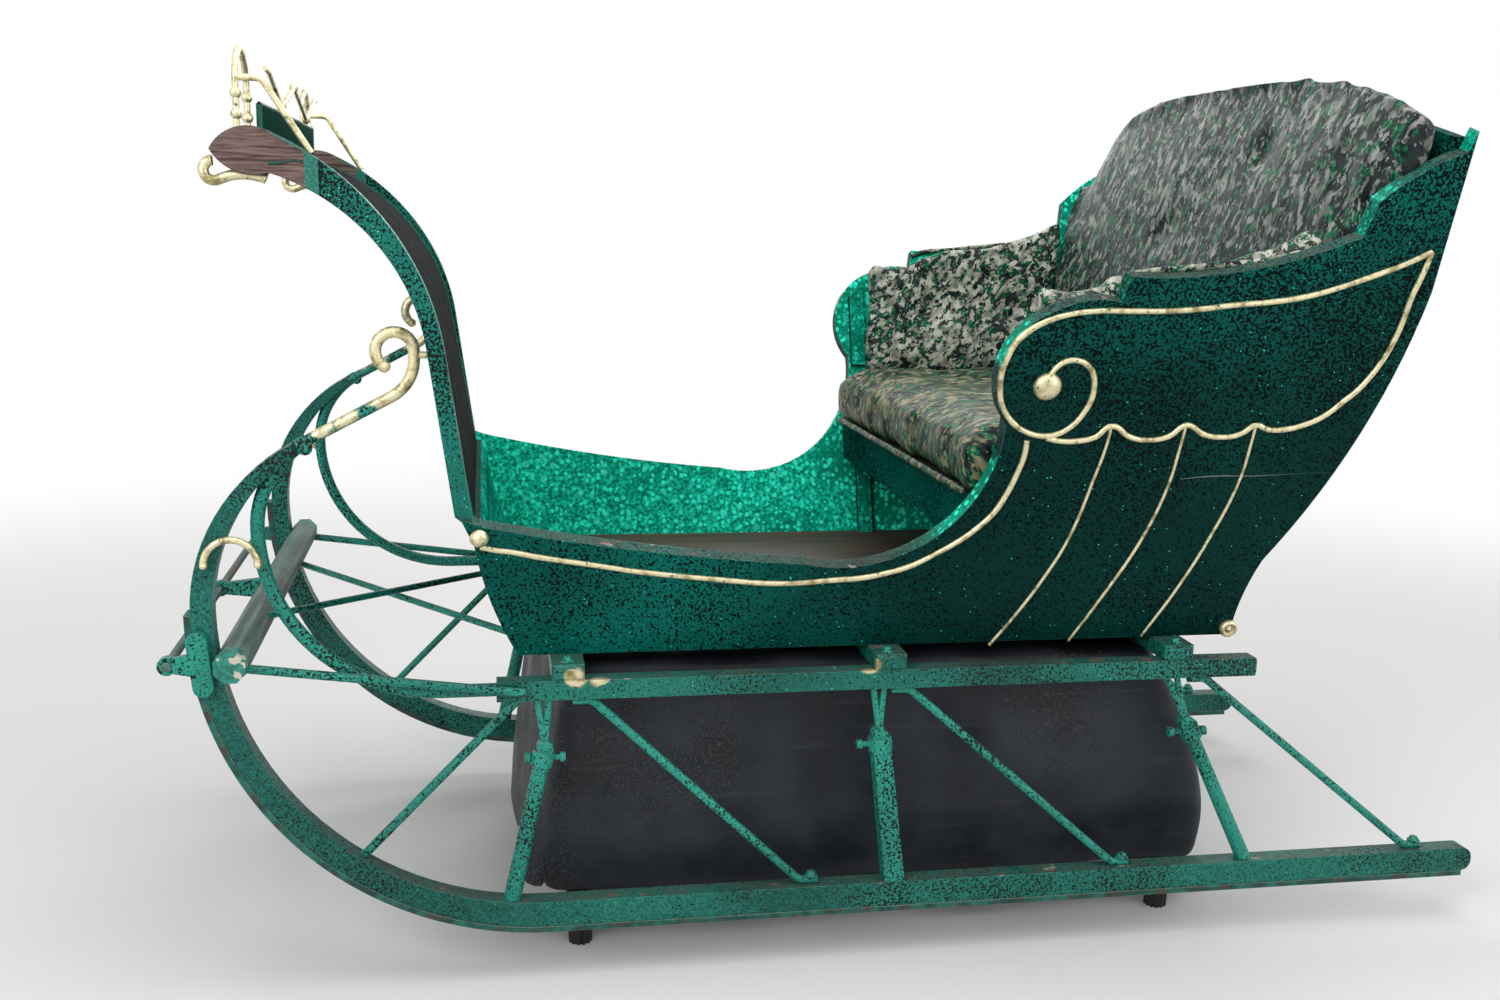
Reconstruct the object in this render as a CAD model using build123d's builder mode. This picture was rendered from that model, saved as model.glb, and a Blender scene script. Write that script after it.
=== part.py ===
"""A horse drawn sleigh, parked on the low upholstered bench that carries it.

Millimetres. +X points to the back of the sleigh, -Y is its left side, +Z is up.
The origin is on the floor, under the middle of the whole object.
"""
from build123d import *
import math
import os

os.makedirs("parts", exist_ok=True)

# Runners and their iron shoes
runner_length = 1879
runner_half_gauge = 378
runner_width = 30
runner_depth = 36
runner_nose_depth = 27
runner_tip_depth = 13
runner_lift = 68
tail_round = 15
shoe_depth = 8
shoe_width = 32
nose_radius = 465
crest_radius = 250
crest_angle = 62

# Irons that rise from the side rails and run out in scrolls on the runner tips
fender_radius = 225
fender_bar = 18
fender_bottom_from_nose = 318
fender_landing = 16
stem_bar = 15
stem_length = 136
stem_turn_radius = 55
stem_rise = 10
curl_radius = 24
curl_sweep = 236
curl_ball_radius = 8
nub_bar = 9
nub_seat = 4
hook_bar = 9
hook_foot_bar = 8
hook_ball_radius = 5
hook_radius = 33
hook_middle = (62, 532)

# Side rails and bolsters under the body
rail_width = 28
rail_height = 27
rail_from_nose = 392
rail_length = 1100
bolster_width = 44
bolster_height = 23
bolster_overhang = 4
rail_chamfer = 4

# Bolsters: name, middle from the nose
bolster_table = [("front", 487), ("middle", 936), ("rear", 1366)]

# Struts, from the nose: foot, collar, head, thickness of the post, whether it is round,
# and how far the collar's bolt sticks out ahead and behind
strut_table = [
    (410, 451, 454, 22, True, 24, 31),
    (954, 929, 922, 26, False, 34, 16),
    (1503, 1404, 1360, 22, True, 34, 24),
]
strut_foot_spread = 3
strut_collar_up = 240
strut_collar_height = 20
strut_collar_proud = 4
strut_bolt = 8
strut_nut = 14
strut_nut_depth = 7
strut_eye_radius = 11
strut_eye_width = 17
strut_eye_rise = 25
strut_prong = 9
strut_prong_half_spread = 9

# Diagonal braces: head from the nose, foot from the nose
brace_table = [(520, 816), (967, 1290), (1416, 1770)]
brace_bar = 12
brace_run = 26
brace_bend = 18
iron_seat = 1
nose_brace_head = 430
nose_brace_foot = (212, 120)
nose_brace_depth = 8

# Draft bar across the noses, with its eyes and the loose rod in them
draft_bar_width = 40
draft_bar_half_length = 420
draft_up = 402
draft_seat = 2
eye_radius = 12
eye_ahead = 21
eye_thickness = 12
rod_radius = 6
rod_clearance = 0.08
rod_proud = 3
cheek_length = 86
cheek_width = 26
cheek_turn = 96
cheek_from_nose = 19
eye_arm_root = 17
eye_arm_tip = 8
end_stay_bar = 12
end_stay_run = 430
end_stay_drop = 8
end_stay_depth = 4
cross_stay_bar = 10
cross_stay_half_spread = 200
cross_stay_foot_spread = 250
cross_stay_depth = 6
cross_stay_step = 18
cross_stay_foot_step = 5

# Body, from the nose and up from the soles, as the side panels are cut
body_half_width = 344
body_up = 385
flare = 17.7
panel_thickness = 22
board_thickness = 18
floor_thickness = 20
panel_foot = (422, 385)
panel_chin = (385, 470)
panel_throat = (365, 551)
panel_ear = (349, 587)
panel_sill = (380, 576)
panel_sill_sag = (600, 537)
panel_low = (810, 514)
panel_rise = (1002, 563)
panel_cusp = (1062, 717)
panel_scroll = (1040, 780)
panel_scroll_top = (1109, 871)
panel_shelf = (1150, 884)
panel_step = (1191, 882)
panel_step_top = (1197, 915)
panel_arm = (1365, 927)
panel_notch = (1505, 971)
panel_notch_top = (1514, 1016)
panel_wing = (1553, 1047)
panel_wing_top = (1618, 1080)
panel_tip = (1624, 1106)
panel_rear_top = (1627, 901)
panel_rear_mid = (1584, 700)
panel_rear_low = (1489, 507)
panel_heel_mid = (1472, 446)
panel_heel = (1468, 385)
panel_toe_top = (356, 572)

# Seat and its cushions
seat_from_nose = 1064
seat_up = 604
apron_height = 67
deck_thickness = 14
post_width = 26
post_thickness = 13
post_from_nose = 1067
post_top_front = 826
post_top_rear = 846
seat_cushion_height = 94
seat_cushion_overhang = 32
seat_cushion_rear = 1434
back_cushion_foot = (1440, 699)
back_cushion_mid = (1486, 894)
back_cushion_top = (1560, 1120)
back_cushion_crown = (1588, 1192)
back_crown = 1176
back_shoulder = 1100
cushion_crown = 1192
cushion_shoulder = 1128
arm_pad_thickness = 46
arm_pad_front = 1094
arm_pad_lean = 10
arm_pad_top = 18
arm_pad_clear = 4
soft_gap = 0.3
soft_round = 22

# Dash: two bent rails with oval heads, and a thin panel between them
dash_half_width = 400
dash_rail_width = 26
dash_foot_front = (341, 590)
dash_foot_back = (366, 570)
dash_knee_front = (309, 807)
dash_knee_back = (332, 801)
dash_head_front = (127, 1019)
dash_head_back = (129, 1068)
dash_head_low = (76, 1026)
dash_head_tip = (58, 1046)
dash_head_high = (76, 1066)
dash_panel_thickness = 10
dash_panel_foot = 6
dash_panel_end = (74, 1048)
horn_bar = 13
horn_root = (122, 1012)
horn_mid = (96, 1017)
horn_tip = (66, 1010)
horn_roll_radius = 12
horn_roll_sweep = 200

# Rein rail on the dash: two hoops with bent stays, and a band of mesh
hoop_bar = 8
hoop_width = 88
hoop_height = 120
hoop_seat = 3
hoop_from_nose = 90
hoop_knob_radius = 7
hoop_knob_heights = (40, 65)
hoop_stay_drop = 37
hoop_stay_run = 30
hoop_stay_bend = 13
hoop_stay_foot = (176, 1044)
mesh_from_nose = 104
mesh_height = 58
mesh_thickness = 6

# Bench that the sleigh is parked on
# Each section of the bench: up from the soles, front and rear end from the nose, half width
bench_table = [
    (8, 454, 1466, 316),
    (110, 460, 1464, 325),
    (240, 475, 1424, 325),
    (350, 494, 1362, 316),
    (362, 502, 1352, 306),
]
bench_bow = 38
bench_round = 26
bench_foot_radius = 21
bench_foot_taper = 4
bench_foot_inset = 56
bench_foot_side_inset = 25
bench_flutes = 12
flute_radius = 3

# Places that follow from the sizes above
eye_reach = eye_ahead + eye_radius
nose_x = -(runner_length + eye_reach) / 2 + eye_reach
tail_x = nose_x + runner_length
sole_z = runner_lift
wood_z = sole_z + shoe_depth
runner_top = wood_z + runner_depth
hub_x = nose_x + nose_radius
hub_z = sole_z + nose_radius
inner_nose_x = nose_x + shoe_depth + runner_nose_depth
inner_radius = hub_z - runner_top
crest_heading = Vector(math.sin(math.radians(crest_angle)), math.cos(math.radians(crest_angle)))
crest_inward = Vector(crest_heading.Y, -crest_heading.X)
body_z = sole_z + body_up
rail_top = body_z - bolster_height
rail_bottom = rail_top - rail_height
seat_z = sole_z + seat_up
seat_x = nose_x + seat_from_nose
draft_z = sole_z + draft_up
eye_x = nose_x - eye_ahead
body_reach = runner_length / 2
flare_slope = math.tan(math.radians(flare))
flare_cos = math.cos(math.radians(flare))
side_plane = Plane.XZ.offset(runner_half_gauge)
panel_plane = Plane(
    origin=(0, -body_half_width, body_z),
    x_dir=(1, 0, 0),
    z_dir=(0, -1, -flare_slope),
)


def at(point):
    """A point given from the nose and up from the soles, as X and Z."""
    return (nose_x + point[0], sole_z + point[1])


def on_side(point):
    """The same point, drawn on the flared plane of a side panel."""
    return (nose_x + point[0], (point[1] - body_up) / flare_cos)


def behind(point, gap=board_thickness):
    """A point of the panel's outline, moved back by the thickness of a board."""
    return at((point[0] + gap, point[1]))


def before(point, gap=board_thickness):
    """A point of the panel's outline, moved forward by the thickness of a board."""
    return at((point[0] - gap, point[1]))


def inner_half(z):
    """Half the width between the inner faces of the side panels."""
    return body_half_width - panel_thickness / flare_cos + (z - body_z) * flare_slope


def near(point, y):
    """A point at this distance to the left of the middle, in space."""
    x, z = at(point)
    return (x, -y, z)


def write(piece, name):
    piece.part.label = name
    export_step(piece.part, f"parts/{name}.step")


def write_pair(left, name):
    """The left piece and its mirror image on the right."""
    write(left, f"{name}_left")
    with BuildPart() as right:
        mirror(left.part, about=Plane.XZ)
    write(right, f"{name}_right")


def straight_bar(start, end, diameter):
    """A straight round bar, added to the part being built."""
    axis = Vector(end) - Vector(start)
    with BuildSketch(Plane(origin=start, z_dir=axis)) as section:
        Circle(diameter / 2)
    extrude(section.sketch, amount=axis.length)


def bent_bar(path, diameter):
    """A round bar along a path, added to the part being built."""
    with BuildSketch(Plane(origin=path @ 0, z_dir=path % 0)) as section:
        Circle(diameter / 2)
    sweep(section.sketch, path=path)


def arch(shoulder_up, crown_up):
    """The outline of everything under an arch across the body, seen from behind."""
    spring = (inner_half(sole_z + shoulder_up), sole_z + shoulder_up)
    crown = (0, sole_z + crown_up)
    over = ThreePointArc((-spring[0], spring[1]), crown, spring)
    Line(over @ 1, (body_reach, spring[1]))
    Line((body_reach, spring[1]), (body_reach, 0))
    Line((body_reach, 0), (-body_reach, 0))
    Line((-body_reach, 0), (-body_reach, spring[1]))
    Line((-body_reach, spring[1]), over @ 0)


# Runner: one long bar, bent up into the nose and on to its tip
with BuildPart() as runner:
    with BuildSketch(side_plane):
        with BuildLine():
            Line((tail_x, wood_z), (hub_x, wood_z))
            CenterArc((hub_x, hub_z), nose_radius - shoe_depth, 270, -90)
            crest = CenterArc((nose_x + shoe_depth + crest_radius, hub_z), crest_radius, 180, -crest_angle)
            tip_inside = (crest @ 1) + crest_inward * runner_tip_depth
            Line(crest @ 1, tip_inside)
            TangentArc((inner_nose_x, hub_z), tip_inside, tangent=(0, 1))
            CenterArc((inner_nose_x + inner_radius, hub_z), inner_radius, 270, -90)
            Line((inner_nose_x + inner_radius, runner_top), (tail_x, runner_top))
            Line((tail_x, runner_top), (tail_x, wood_z))
        make_face()
        fillet(vertices().group_by(Axis.X)[-1], tail_round)
    extrude(amount=runner_width / 2, both=True)
write_pair(runner, "runner")

# Shoe: the iron strip under the runner and round its nose
with BuildPart() as shoe:
    with BuildSketch(side_plane):
        with BuildLine():
            Line((tail_x - tail_round, sole_z), (hub_x, sole_z))
            CenterArc((hub_x, hub_z), nose_radius, 270, -90)
            Line((nose_x, hub_z), (nose_x + shoe_depth, hub_z))
            CenterArc((hub_x, hub_z), nose_radius - shoe_depth, 270, -90)
            Line((hub_x, wood_z), (tail_x - tail_round, wood_z))
            Line((tail_x - tail_round, wood_z), (tail_x - tail_round, sole_z))
        make_face()
    extrude(amount=shoe_width / 2, both=True)
write_pair(shoe, "shoe")

# Side panel: a flared board, its edge cut as a low door, a scroll and an arm
with BuildPart() as side_panel:
    with BuildSketch(panel_plane):
        with BuildLine():
            ThreePointArc(on_side(panel_foot), on_side(panel_chin), on_side(panel_throat))
            Line(on_side(panel_throat), on_side(panel_ear))
            Line(on_side(panel_ear), on_side(panel_sill))
            ThreePointArc(on_side(panel_sill), on_side(panel_sill_sag), on_side(panel_low))
            ThreePointArc(on_side(panel_low), on_side(panel_rise), on_side(panel_cusp))
            ThreePointArc(on_side(panel_cusp), on_side(panel_scroll), on_side(panel_scroll_top))
            ThreePointArc(on_side(panel_scroll_top), on_side(panel_shelf), on_side(panel_step))
            Line(on_side(panel_step), on_side(panel_step_top))
            ThreePointArc(on_side(panel_step_top), on_side(panel_arm), on_side(panel_notch))
            Line(on_side(panel_notch), on_side(panel_notch_top))
            ThreePointArc(on_side(panel_notch_top), on_side(panel_wing), on_side(panel_wing_top))
            Line(on_side(panel_wing_top), on_side(panel_tip))
            Line(on_side(panel_tip), on_side(panel_rear_top))
            ThreePointArc(on_side(panel_rear_top), on_side(panel_rear_mid), on_side(panel_rear_low))
            ThreePointArc(on_side(panel_rear_low), on_side(panel_heel_mid), on_side(panel_heel))
            Line(on_side(panel_heel), on_side(panel_foot))
        make_face()
    extrude(amount=-panel_thickness)
write_pair(side_panel, "side_panel")

# Space between the two panels, and the same space behind the toe board and before the back
with BuildPart() as body_space:
    with BuildSketch(Plane.YZ.offset(nose_x)):
        with BuildLine():
            low_z = body_z
            high_z = sole_z + cushion_crown
            corners = [
                (-inner_half(low_z), low_z),
                (inner_half(low_z), low_z),
                (inner_half(high_z), high_z),
                (-inner_half(high_z), high_z),
            ]
            Polyline(*corners, close=True)
        make_face()
    extrude(amount=runner_length)

with BuildPart() as body_room:
    with BuildSketch(Plane.XZ):
        with BuildLine():
            ThreePointArc(*[behind(point) for point in (panel_foot, panel_chin, panel_throat)])
            Line(behind(panel_throat), behind(panel_ear))
            Line(behind(panel_ear), (behind(panel_ear)[0], sole_z + back_crown))
            Line(
                (behind(panel_ear)[0], sole_z + back_crown),
                (before(panel_tip)[0], sole_z + back_crown),
            )
            Line((before(panel_tip)[0], sole_z + back_crown), before(panel_tip))
            Line(before(panel_tip), before(panel_rear_top))
            ThreePointArc(*[before(p) for p in (panel_rear_top, panel_rear_mid, panel_rear_low)])
            ThreePointArc(*[before(p) for p in (panel_rear_low, panel_heel_mid, panel_heel)])
            Line(before(panel_heel), behind(panel_foot))
        make_face()
    extrude(amount=body_reach, both=True)
    add(body_space.part, mode=Mode.INTERSECT)

# Toe board across the front of the body
with BuildPart() as toe_board:
    with BuildSketch(Plane.XZ):
        with BuildLine():
            ThreePointArc(at(panel_foot), at(panel_chin), at(panel_throat))
            Line(at(panel_throat), at(panel_toe_top))
            Line(at(panel_toe_top), behind(panel_toe_top))
            Line(behind(panel_toe_top), behind(panel_throat))
            ThreePointArc(*[behind(p) for p in (panel_throat, panel_chin, panel_foot)])
            Line(behind(panel_foot), at(panel_foot))
        make_face()
    extrude(amount=body_reach, both=True)
    add(body_space.part, mode=Mode.INTERSECT)
write(toe_board, "toe_board")

# Back panel, arched over the shoulders
with BuildPart() as back_panel:
    with BuildSketch(Plane.XZ):
        with BuildLine():
            back_top = (at(panel_tip)[0], sole_z + back_crown)
            Line(back_top, at(panel_tip))
            Line(at(panel_tip), at(panel_rear_top))
            ThreePointArc(at(panel_rear_top), at(panel_rear_mid), at(panel_rear_low))
            ThreePointArc(at(panel_rear_low), at(panel_heel_mid), at(panel_heel))
            Line(at(panel_heel), before(panel_heel))
            ThreePointArc(*[before(p) for p in (panel_heel, panel_heel_mid, panel_rear_low)])
            ThreePointArc(*[before(p) for p in (panel_rear_low, panel_rear_mid, panel_rear_top)])
            Line(before(panel_rear_top), before(panel_tip))
            Line(before(panel_tip), (before(panel_tip)[0], back_top[1]))
            Line((before(panel_tip)[0], back_top[1]), back_top)
        make_face()
    extrude(amount=body_reach, both=True)
    add(body_space.part, mode=Mode.INTERSECT)
    with BuildSketch(Plane.YZ):
        with BuildLine():
            arch(back_shoulder, back_crown)
        make_face()
    extrude(amount=body_reach * 2, both=True, mode=Mode.INTERSECT)
write(back_panel, "back_panel")

# Seat: a deck board, and an apron board under its front edge
with BuildPart() as seat_deck:
    with BuildSketch(Plane.XY.offset(seat_z - deck_thickness)):
        with Locations((seat_x + body_reach, 0)):
            Rectangle(2 * body_reach, 2 * body_reach)
    extrude(amount=deck_thickness)
    add(body_room.part, mode=Mode.INTERSECT)
write(seat_deck, "seat_deck")

with BuildPart() as seat_apron:
    with BuildSketch(Plane.XY.offset(seat_z - apron_height)):
        with Locations((seat_x - board_thickness / 2, 0)):
            Rectangle(board_thickness, 2 * body_reach)
    extrude(amount=apron_height)
    add(body_room.part, mode=Mode.INTERSECT)
write(seat_apron, "seat_apron")

# Posts up the inner faces of the side panels, at the front of the seat and of the arm pads
deck_under = seat_up - deck_thickness
cushion_up = seat_up + seat_cushion_height
post_rear = post_from_nose + post_width
inner_plane = panel_plane.offset(-panel_thickness)
with BuildPart() as seat_posts:
    with BuildSketch(inner_plane):
        Polygon(
            on_side((post_from_nose, body_up)),
            on_side((post_rear, body_up)),
            on_side((post_rear, deck_under)),
            on_side((post_from_nose, deck_under)),
            align=None,
        )
        Polygon(
            on_side((post_from_nose, cushion_up)),
            on_side((post_rear, cushion_up)),
            on_side((post_rear, post_top_rear)),
            on_side((post_from_nose, post_top_front)),
            align=None,
        )
    extrude(amount=-post_thickness)
    add(seat_deck.part, mode=Mode.SUBTRACT)
    mirror(about=Plane.XZ)
write(seat_posts, "seat_posts")

# Floor of the foot well and of the space under the seat, notched around the posts
with BuildPart() as floor:
    with BuildSketch(Plane.XY.offset(body_z)):
        Rectangle(2 * body_reach, 2 * body_reach)
    extrude(amount=floor_thickness)
    add(body_room.part, mode=Mode.INTERSECT)
    add(seat_posts.part, mode=Mode.SUBTRACT)
write(floor, "floor")

# Bolsters across the rails, under the body
bolster_half_length = runner_half_gauge + rail_width / 2 + bolster_overhang
for name, middle in bolster_table:
    with BuildPart() as bolster:
        with BuildSketch(Plane.XZ):
            with Locations((nose_x + middle, rail_top + bolster_height / 2)):
                Rectangle(bolster_width, bolster_height)
        extrude(amount=bolster_half_length, both=True)
        chamfer(bolster.faces().sort_by(Axis.Y)[0].edges(), bolster_overhang)
        chamfer(bolster.faces().sort_by(Axis.Y)[-1].edges(), bolster_overhang)
    write(bolster, f"bolster_{name}")

# Side rails that the bolsters lie on
with BuildPart() as side_rail:
    with BuildSketch(side_plane):
        with Locations(at((rail_from_nose + rail_length / 2, body_up - bolster_height - rail_height / 2))):
            Rectangle(rail_length, rail_height)
    extrude(amount=rail_width / 2, both=True)
    chamfer(side_rail.faces().sort_by(Axis.X)[-1].edges(), rail_chamfer)
write_pair(side_rail, "side_rail")

# Struts: a leaning post, a bolted collar with an eye above it, and two prongs up to the rail
with BuildPart() as struts:
    for foot, collar, head, post, is_round, ahead, behind_reach in strut_table:
        # Place along the runner, height and thickness of the post's lower and upper end
        for_loft = [(foot, runner_top, post + strut_foot_spread), (collar, sole_z + strut_collar_up, post)]
        for from_nose, height, width in for_loft:
            with BuildSketch(Plane.XY.offset(height)):
                with Locations((nose_x + from_nose, -runner_half_gauge)):
                    if is_round:
                        Circle(width / 2)
                    else:
                        Rectangle(width, width)
        loft(ruled=True)
        collar_low = Vector(near((collar, strut_collar_up), runner_half_gauge))
        foot_middle = Vector(near((foot, runner_top - sole_z), runner_half_gauge))
        rise = (collar_low - foot_middle).normalized()
        collar_high = collar_low + rise * strut_collar_height
        straight_bar(collar_low - rise, collar_high, post + 2 * strut_collar_proud)
        bolt_middle = (collar_low + collar_high) / 2
        bolt_front = bolt_middle - Vector(ahead, 0, 0)
        bolt_back = bolt_middle + Vector(behind_reach, 0, 0)
        nut_depth = Vector(strut_nut_depth, 0, 0)
        straight_bar(bolt_front, bolt_back, strut_bolt)
        straight_bar(bolt_front, bolt_front + nut_depth, strut_nut)
        straight_bar(bolt_back - nut_depth, bolt_back, strut_nut)
        eye = collar_low + rise * strut_eye_rise
        half_eye = Vector(0, strut_eye_width / 2, 0)
        straight_bar(eye - half_eye, eye + half_eye, 2 * strut_eye_radius)
        for side in (-1, 1):
            prong_head = near((head, rail_bottom - sole_z), runner_half_gauge)
            prong_end = Vector(prong_head) + Vector(side * strut_prong_half_spread, 0, strut_prong)
            straight_bar(eye, prong_end, strut_prong)
    add(runner.part, mode=Mode.SUBTRACT)
    add(side_rail.part, mode=Mode.SUBTRACT)
write_pair(struts, "struts")

# Diagonal braces: bars bent flat along the rail at one end and along the runner at the other
with BuildPart() as braces:
    for head, foot in brace_table:
        brace_high = rail_bottom - brace_bar / 2 + iron_seat
        brace_low = runner_top + brace_bar / 2 - iron_seat
        with BuildLine(side_plane) as brace_line:
            FilletPolyline(
                (nose_x + head - brace_run, brace_high),
                (nose_x + head, brace_high),
                (nose_x + foot, brace_low),
                (nose_x + foot + brace_run, brace_low),
                radius=brace_bend,
            )
        bent_bar(brace_line.wire(), brace_bar)
    nose_foot = near(nose_brace_foot, runner_half_gauge)
    nose_head = near((nose_brace_head, rail_bottom - sole_z + nose_brace_depth), runner_half_gauge)
    straight_bar(nose_foot, nose_head, brace_bar)
    add(runner.part, mode=Mode.SUBTRACT)
    add(side_rail.part, mode=Mode.SUBTRACT)
write_pair(braces, "braces")

# Dash rail: bent forward at the top to an oval head, its foot lapped inside the panel
with BuildPart() as dash_rail:
    with BuildSketch(Plane.XZ.offset(dash_half_width)):
        with BuildLine():
            front = Line(at(dash_foot_front), at(dash_knee_front))
            TangentArc(at(dash_knee_front), at(dash_head_front), tangent=front % 1)
            ThreePointArc(at(dash_head_front), at(dash_head_low), at(dash_head_tip))
            ThreePointArc(at(dash_head_tip), at(dash_head_high), at(dash_head_back))
            back = Line(at(dash_foot_back), at(dash_knee_back))
            TangentArc(at(dash_knee_back), at(dash_head_back), tangent=back % 1)
            Line(at(dash_foot_back), at(dash_foot_front))
        make_face()
    extrude(amount=-dash_rail_width)
    add(side_panel.part, mode=Mode.SUBTRACT)
    add(toe_board.part, mode=Mode.SUBTRACT)
write_pair(dash_rail, "dash_rail")

# Dash panel between the rails, standing on the toe board
dash_inner_half = dash_half_width - dash_rail_width
with BuildPart() as dash_panel:
    with BuildLine(Plane.XZ) as dash_line:
        dash_knee = at(((dash_knee_front[0] + dash_knee_back[0]) / 2, dash_knee_front[1]))
        dash_head = at((dash_head_front[0], (dash_head_front[1] + dash_head_back[1]) / 2))
        dash_base = at((panel_toe_top[0] + dash_panel_foot, panel_toe_top[1] - dash_panel_foot))
        riser = Line(dash_base, dash_knee)
        bend = TangentArc(riser @ 1, dash_head, tangent=riser % 1)
        Line(bend @ 1, at(dash_panel_end))
    with BuildSketch(Plane(origin=riser @ 0, x_dir=(0, 1, 0), z_dir=riser % 0)):
        Rectangle(2 * dash_inner_half, dash_panel_thickness)
    sweep(path=dash_line.wire(), transition=Transition.RIGHT)
    add(toe_board.part, mode=Mode.SUBTRACT)
write(dash_panel, "dash_panel")

# Fender: a round iron from the rail up to the runner's tip, and its scroll beyond
with BuildPart() as fender:
    tip = at((shoe_depth + crest_radius, nose_radius))
    tip_x = tip[0] - crest_radius * crest_heading.Y + crest_inward.X * runner_tip_depth / 2
    tip_z = tip[1] + crest_radius * crest_heading.X + crest_inward.Y * runner_tip_depth / 2
    rail_middle = rail_bottom + rail_height / 2
    with BuildLine(side_plane) as fender_line:
        level = Line((nose_x + rail_from_nose, rail_middle), (nose_x + fender_bottom_from_nose, rail_middle))
        belly = JernArc(level @ 1, level % 1, fender_radius, -90)
        landing_x = tip_x + crest_heading.X * fender_landing
        landing_z = tip_z + crest_heading.Y * fender_landing
        TangentArc(belly @ 1, (landing_x, landing_z), tangent=belly % 1)
    bent_bar(fender_line.wire(), fender_bar)
    with BuildLine(side_plane) as stem_line:
        stem_end_x = tip_x + crest_heading.X * stem_length
        stem_end_z = tip_z + crest_heading.Y * stem_length
        stem = Line((tip_x, tip_z), (stem_end_x, stem_end_z))
        turn = JernArc(stem @ 1, stem % 1, stem_turn_radius, crest_angle)
        fork = Line(turn @ 1, (turn @ 1) + (turn % 1) * stem_rise)
        curl = JernArc(fork @ 1, fork % 1, curl_radius, curl_sweep)
    bent_bar(stem_line.wire(), stem_bar)
    with Locations(curl @ 1):
        Sphere(curl_ball_radius)
    nub_start = fork @ 0.5
    nub_end = Vector(nose_x + dash_knee_front[0] + nub_seat, nub_start.Y, nub_start.Z)
    straight_bar(nub_start, nub_end, nub_bar)
    add(dash_rail.part, mode=Mode.SUBTRACT)
    add(runner.part, mode=Mode.SUBTRACT)
write_pair(fender, "fender")

# Hook: a small arch over the gap between the runner and the fender, on their outer sides
runner_face = runner_half_gauge + runner_width / 2
hook_plane_y = runner_face + hook_bar
with BuildPart() as hook:
    hook_x, hook_z = at(hook_middle)
    with BuildLine(Plane.XZ.offset(hook_plane_y)) as hook_line:
        CenterArc((hook_x, hook_z), hook_radius, 0, 180)
    bent_bar(hook_line.wire(), hook_bar)
    # Each end of the hook: where it stands along X, and how far in its foot reaches
    for foot_x, foot_y in ((hook_x - hook_radius, runner_face), (hook_x + hook_radius, runner_half_gauge)):
        with Locations((foot_x, -hook_plane_y, hook_z)):
            Sphere(hook_ball_radius)
        straight_bar((foot_x, -hook_plane_y, hook_z), (foot_x, -foot_y, hook_z), hook_foot_bar)
    add(fender.part, mode=Mode.SUBTRACT)
write_pair(hook, "hook")

# Draft bar: eight-sided, housed a little against the backs of the noses
nose_back = inner_nose_x + inner_radius - math.sqrt(inner_radius**2 - (hub_z - draft_z) ** 2)
draft_x = nose_back + draft_bar_width / 2 - draft_seat
with BuildPart() as draft_bar:
    with BuildSketch(Plane.XZ):
        with Locations((draft_x, draft_z)):
            RegularPolygon(draft_bar_width / 2, 8, major_radius=False, rotation=22.5)
    extrude(amount=draft_bar_half_length, both=True)
    add(runner.part, mode=Mode.SUBTRACT)
    mirror(runner.part, about=Plane.XZ, mode=Mode.SUBTRACT)
write(draft_bar, "draft_bar")

# Loose rod across the front, held in three eyes
with BuildPart() as shaft_rod:
    eye_y = runner_half_gauge + runner_width / 2 + eye_thickness
    straight_bar((eye_x, -eye_y - rod_proud, draft_z), (eye_x, eye_y + rod_proud, draft_z), 2 * rod_radius)
write(shaft_rod, "shaft_rod")

# Eye: a cheek bolted to the runner's side, with an arm forward to the eye
with BuildPart() as draft_eye:
    with BuildSketch(Plane.XZ.offset(runner_half_gauge + runner_width / 2)):
        with Locations((eye_x, draft_z)):
            Circle(eye_radius)
        with Locations((nose_x + cheek_from_nose, draft_z)):
            SlotOverall(cheek_length, cheek_width, rotation=cheek_turn)
        with BuildLine():
            Polyline(
                (eye_x, draft_z + eye_arm_tip),
                (nose_x + cheek_from_nose, draft_z + eye_arm_root),
                (nose_x + cheek_from_nose, draft_z - eye_arm_root),
                (eye_x, draft_z - eye_arm_tip),
                close=True,
            )
        make_face()
        with Locations((eye_x, draft_z)):
            Circle(rod_radius + rod_clearance, mode=Mode.SUBTRACT)
    extrude(amount=eye_thickness)
    add(shoe.part, mode=Mode.SUBTRACT)
write_pair(draft_eye, "draft_eye")

# Middle eye, on the front of the draft bar
with BuildPart() as draft_eye_centre:
    with BuildSketch(Plane.XZ):
        with Locations((eye_x, draft_z)):
            Circle(eye_radius)
        with BuildLine():
            Polyline(
                (eye_x, draft_z + eye_arm_tip),
                (draft_x, draft_z + eye_arm_root),
                (draft_x, draft_z - eye_arm_root),
                (eye_x, draft_z - eye_arm_tip),
                close=True,
            )
        make_face()
        with Locations((eye_x, draft_z)):
            Circle(rod_radius + rod_clearance, mode=Mode.SUBTRACT)
    extrude(amount=eye_thickness / 2, both=True)
    add(draft_bar.part, mode=Mode.SUBTRACT)
write(draft_eye_centre, "draft_eye_centre")

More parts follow.
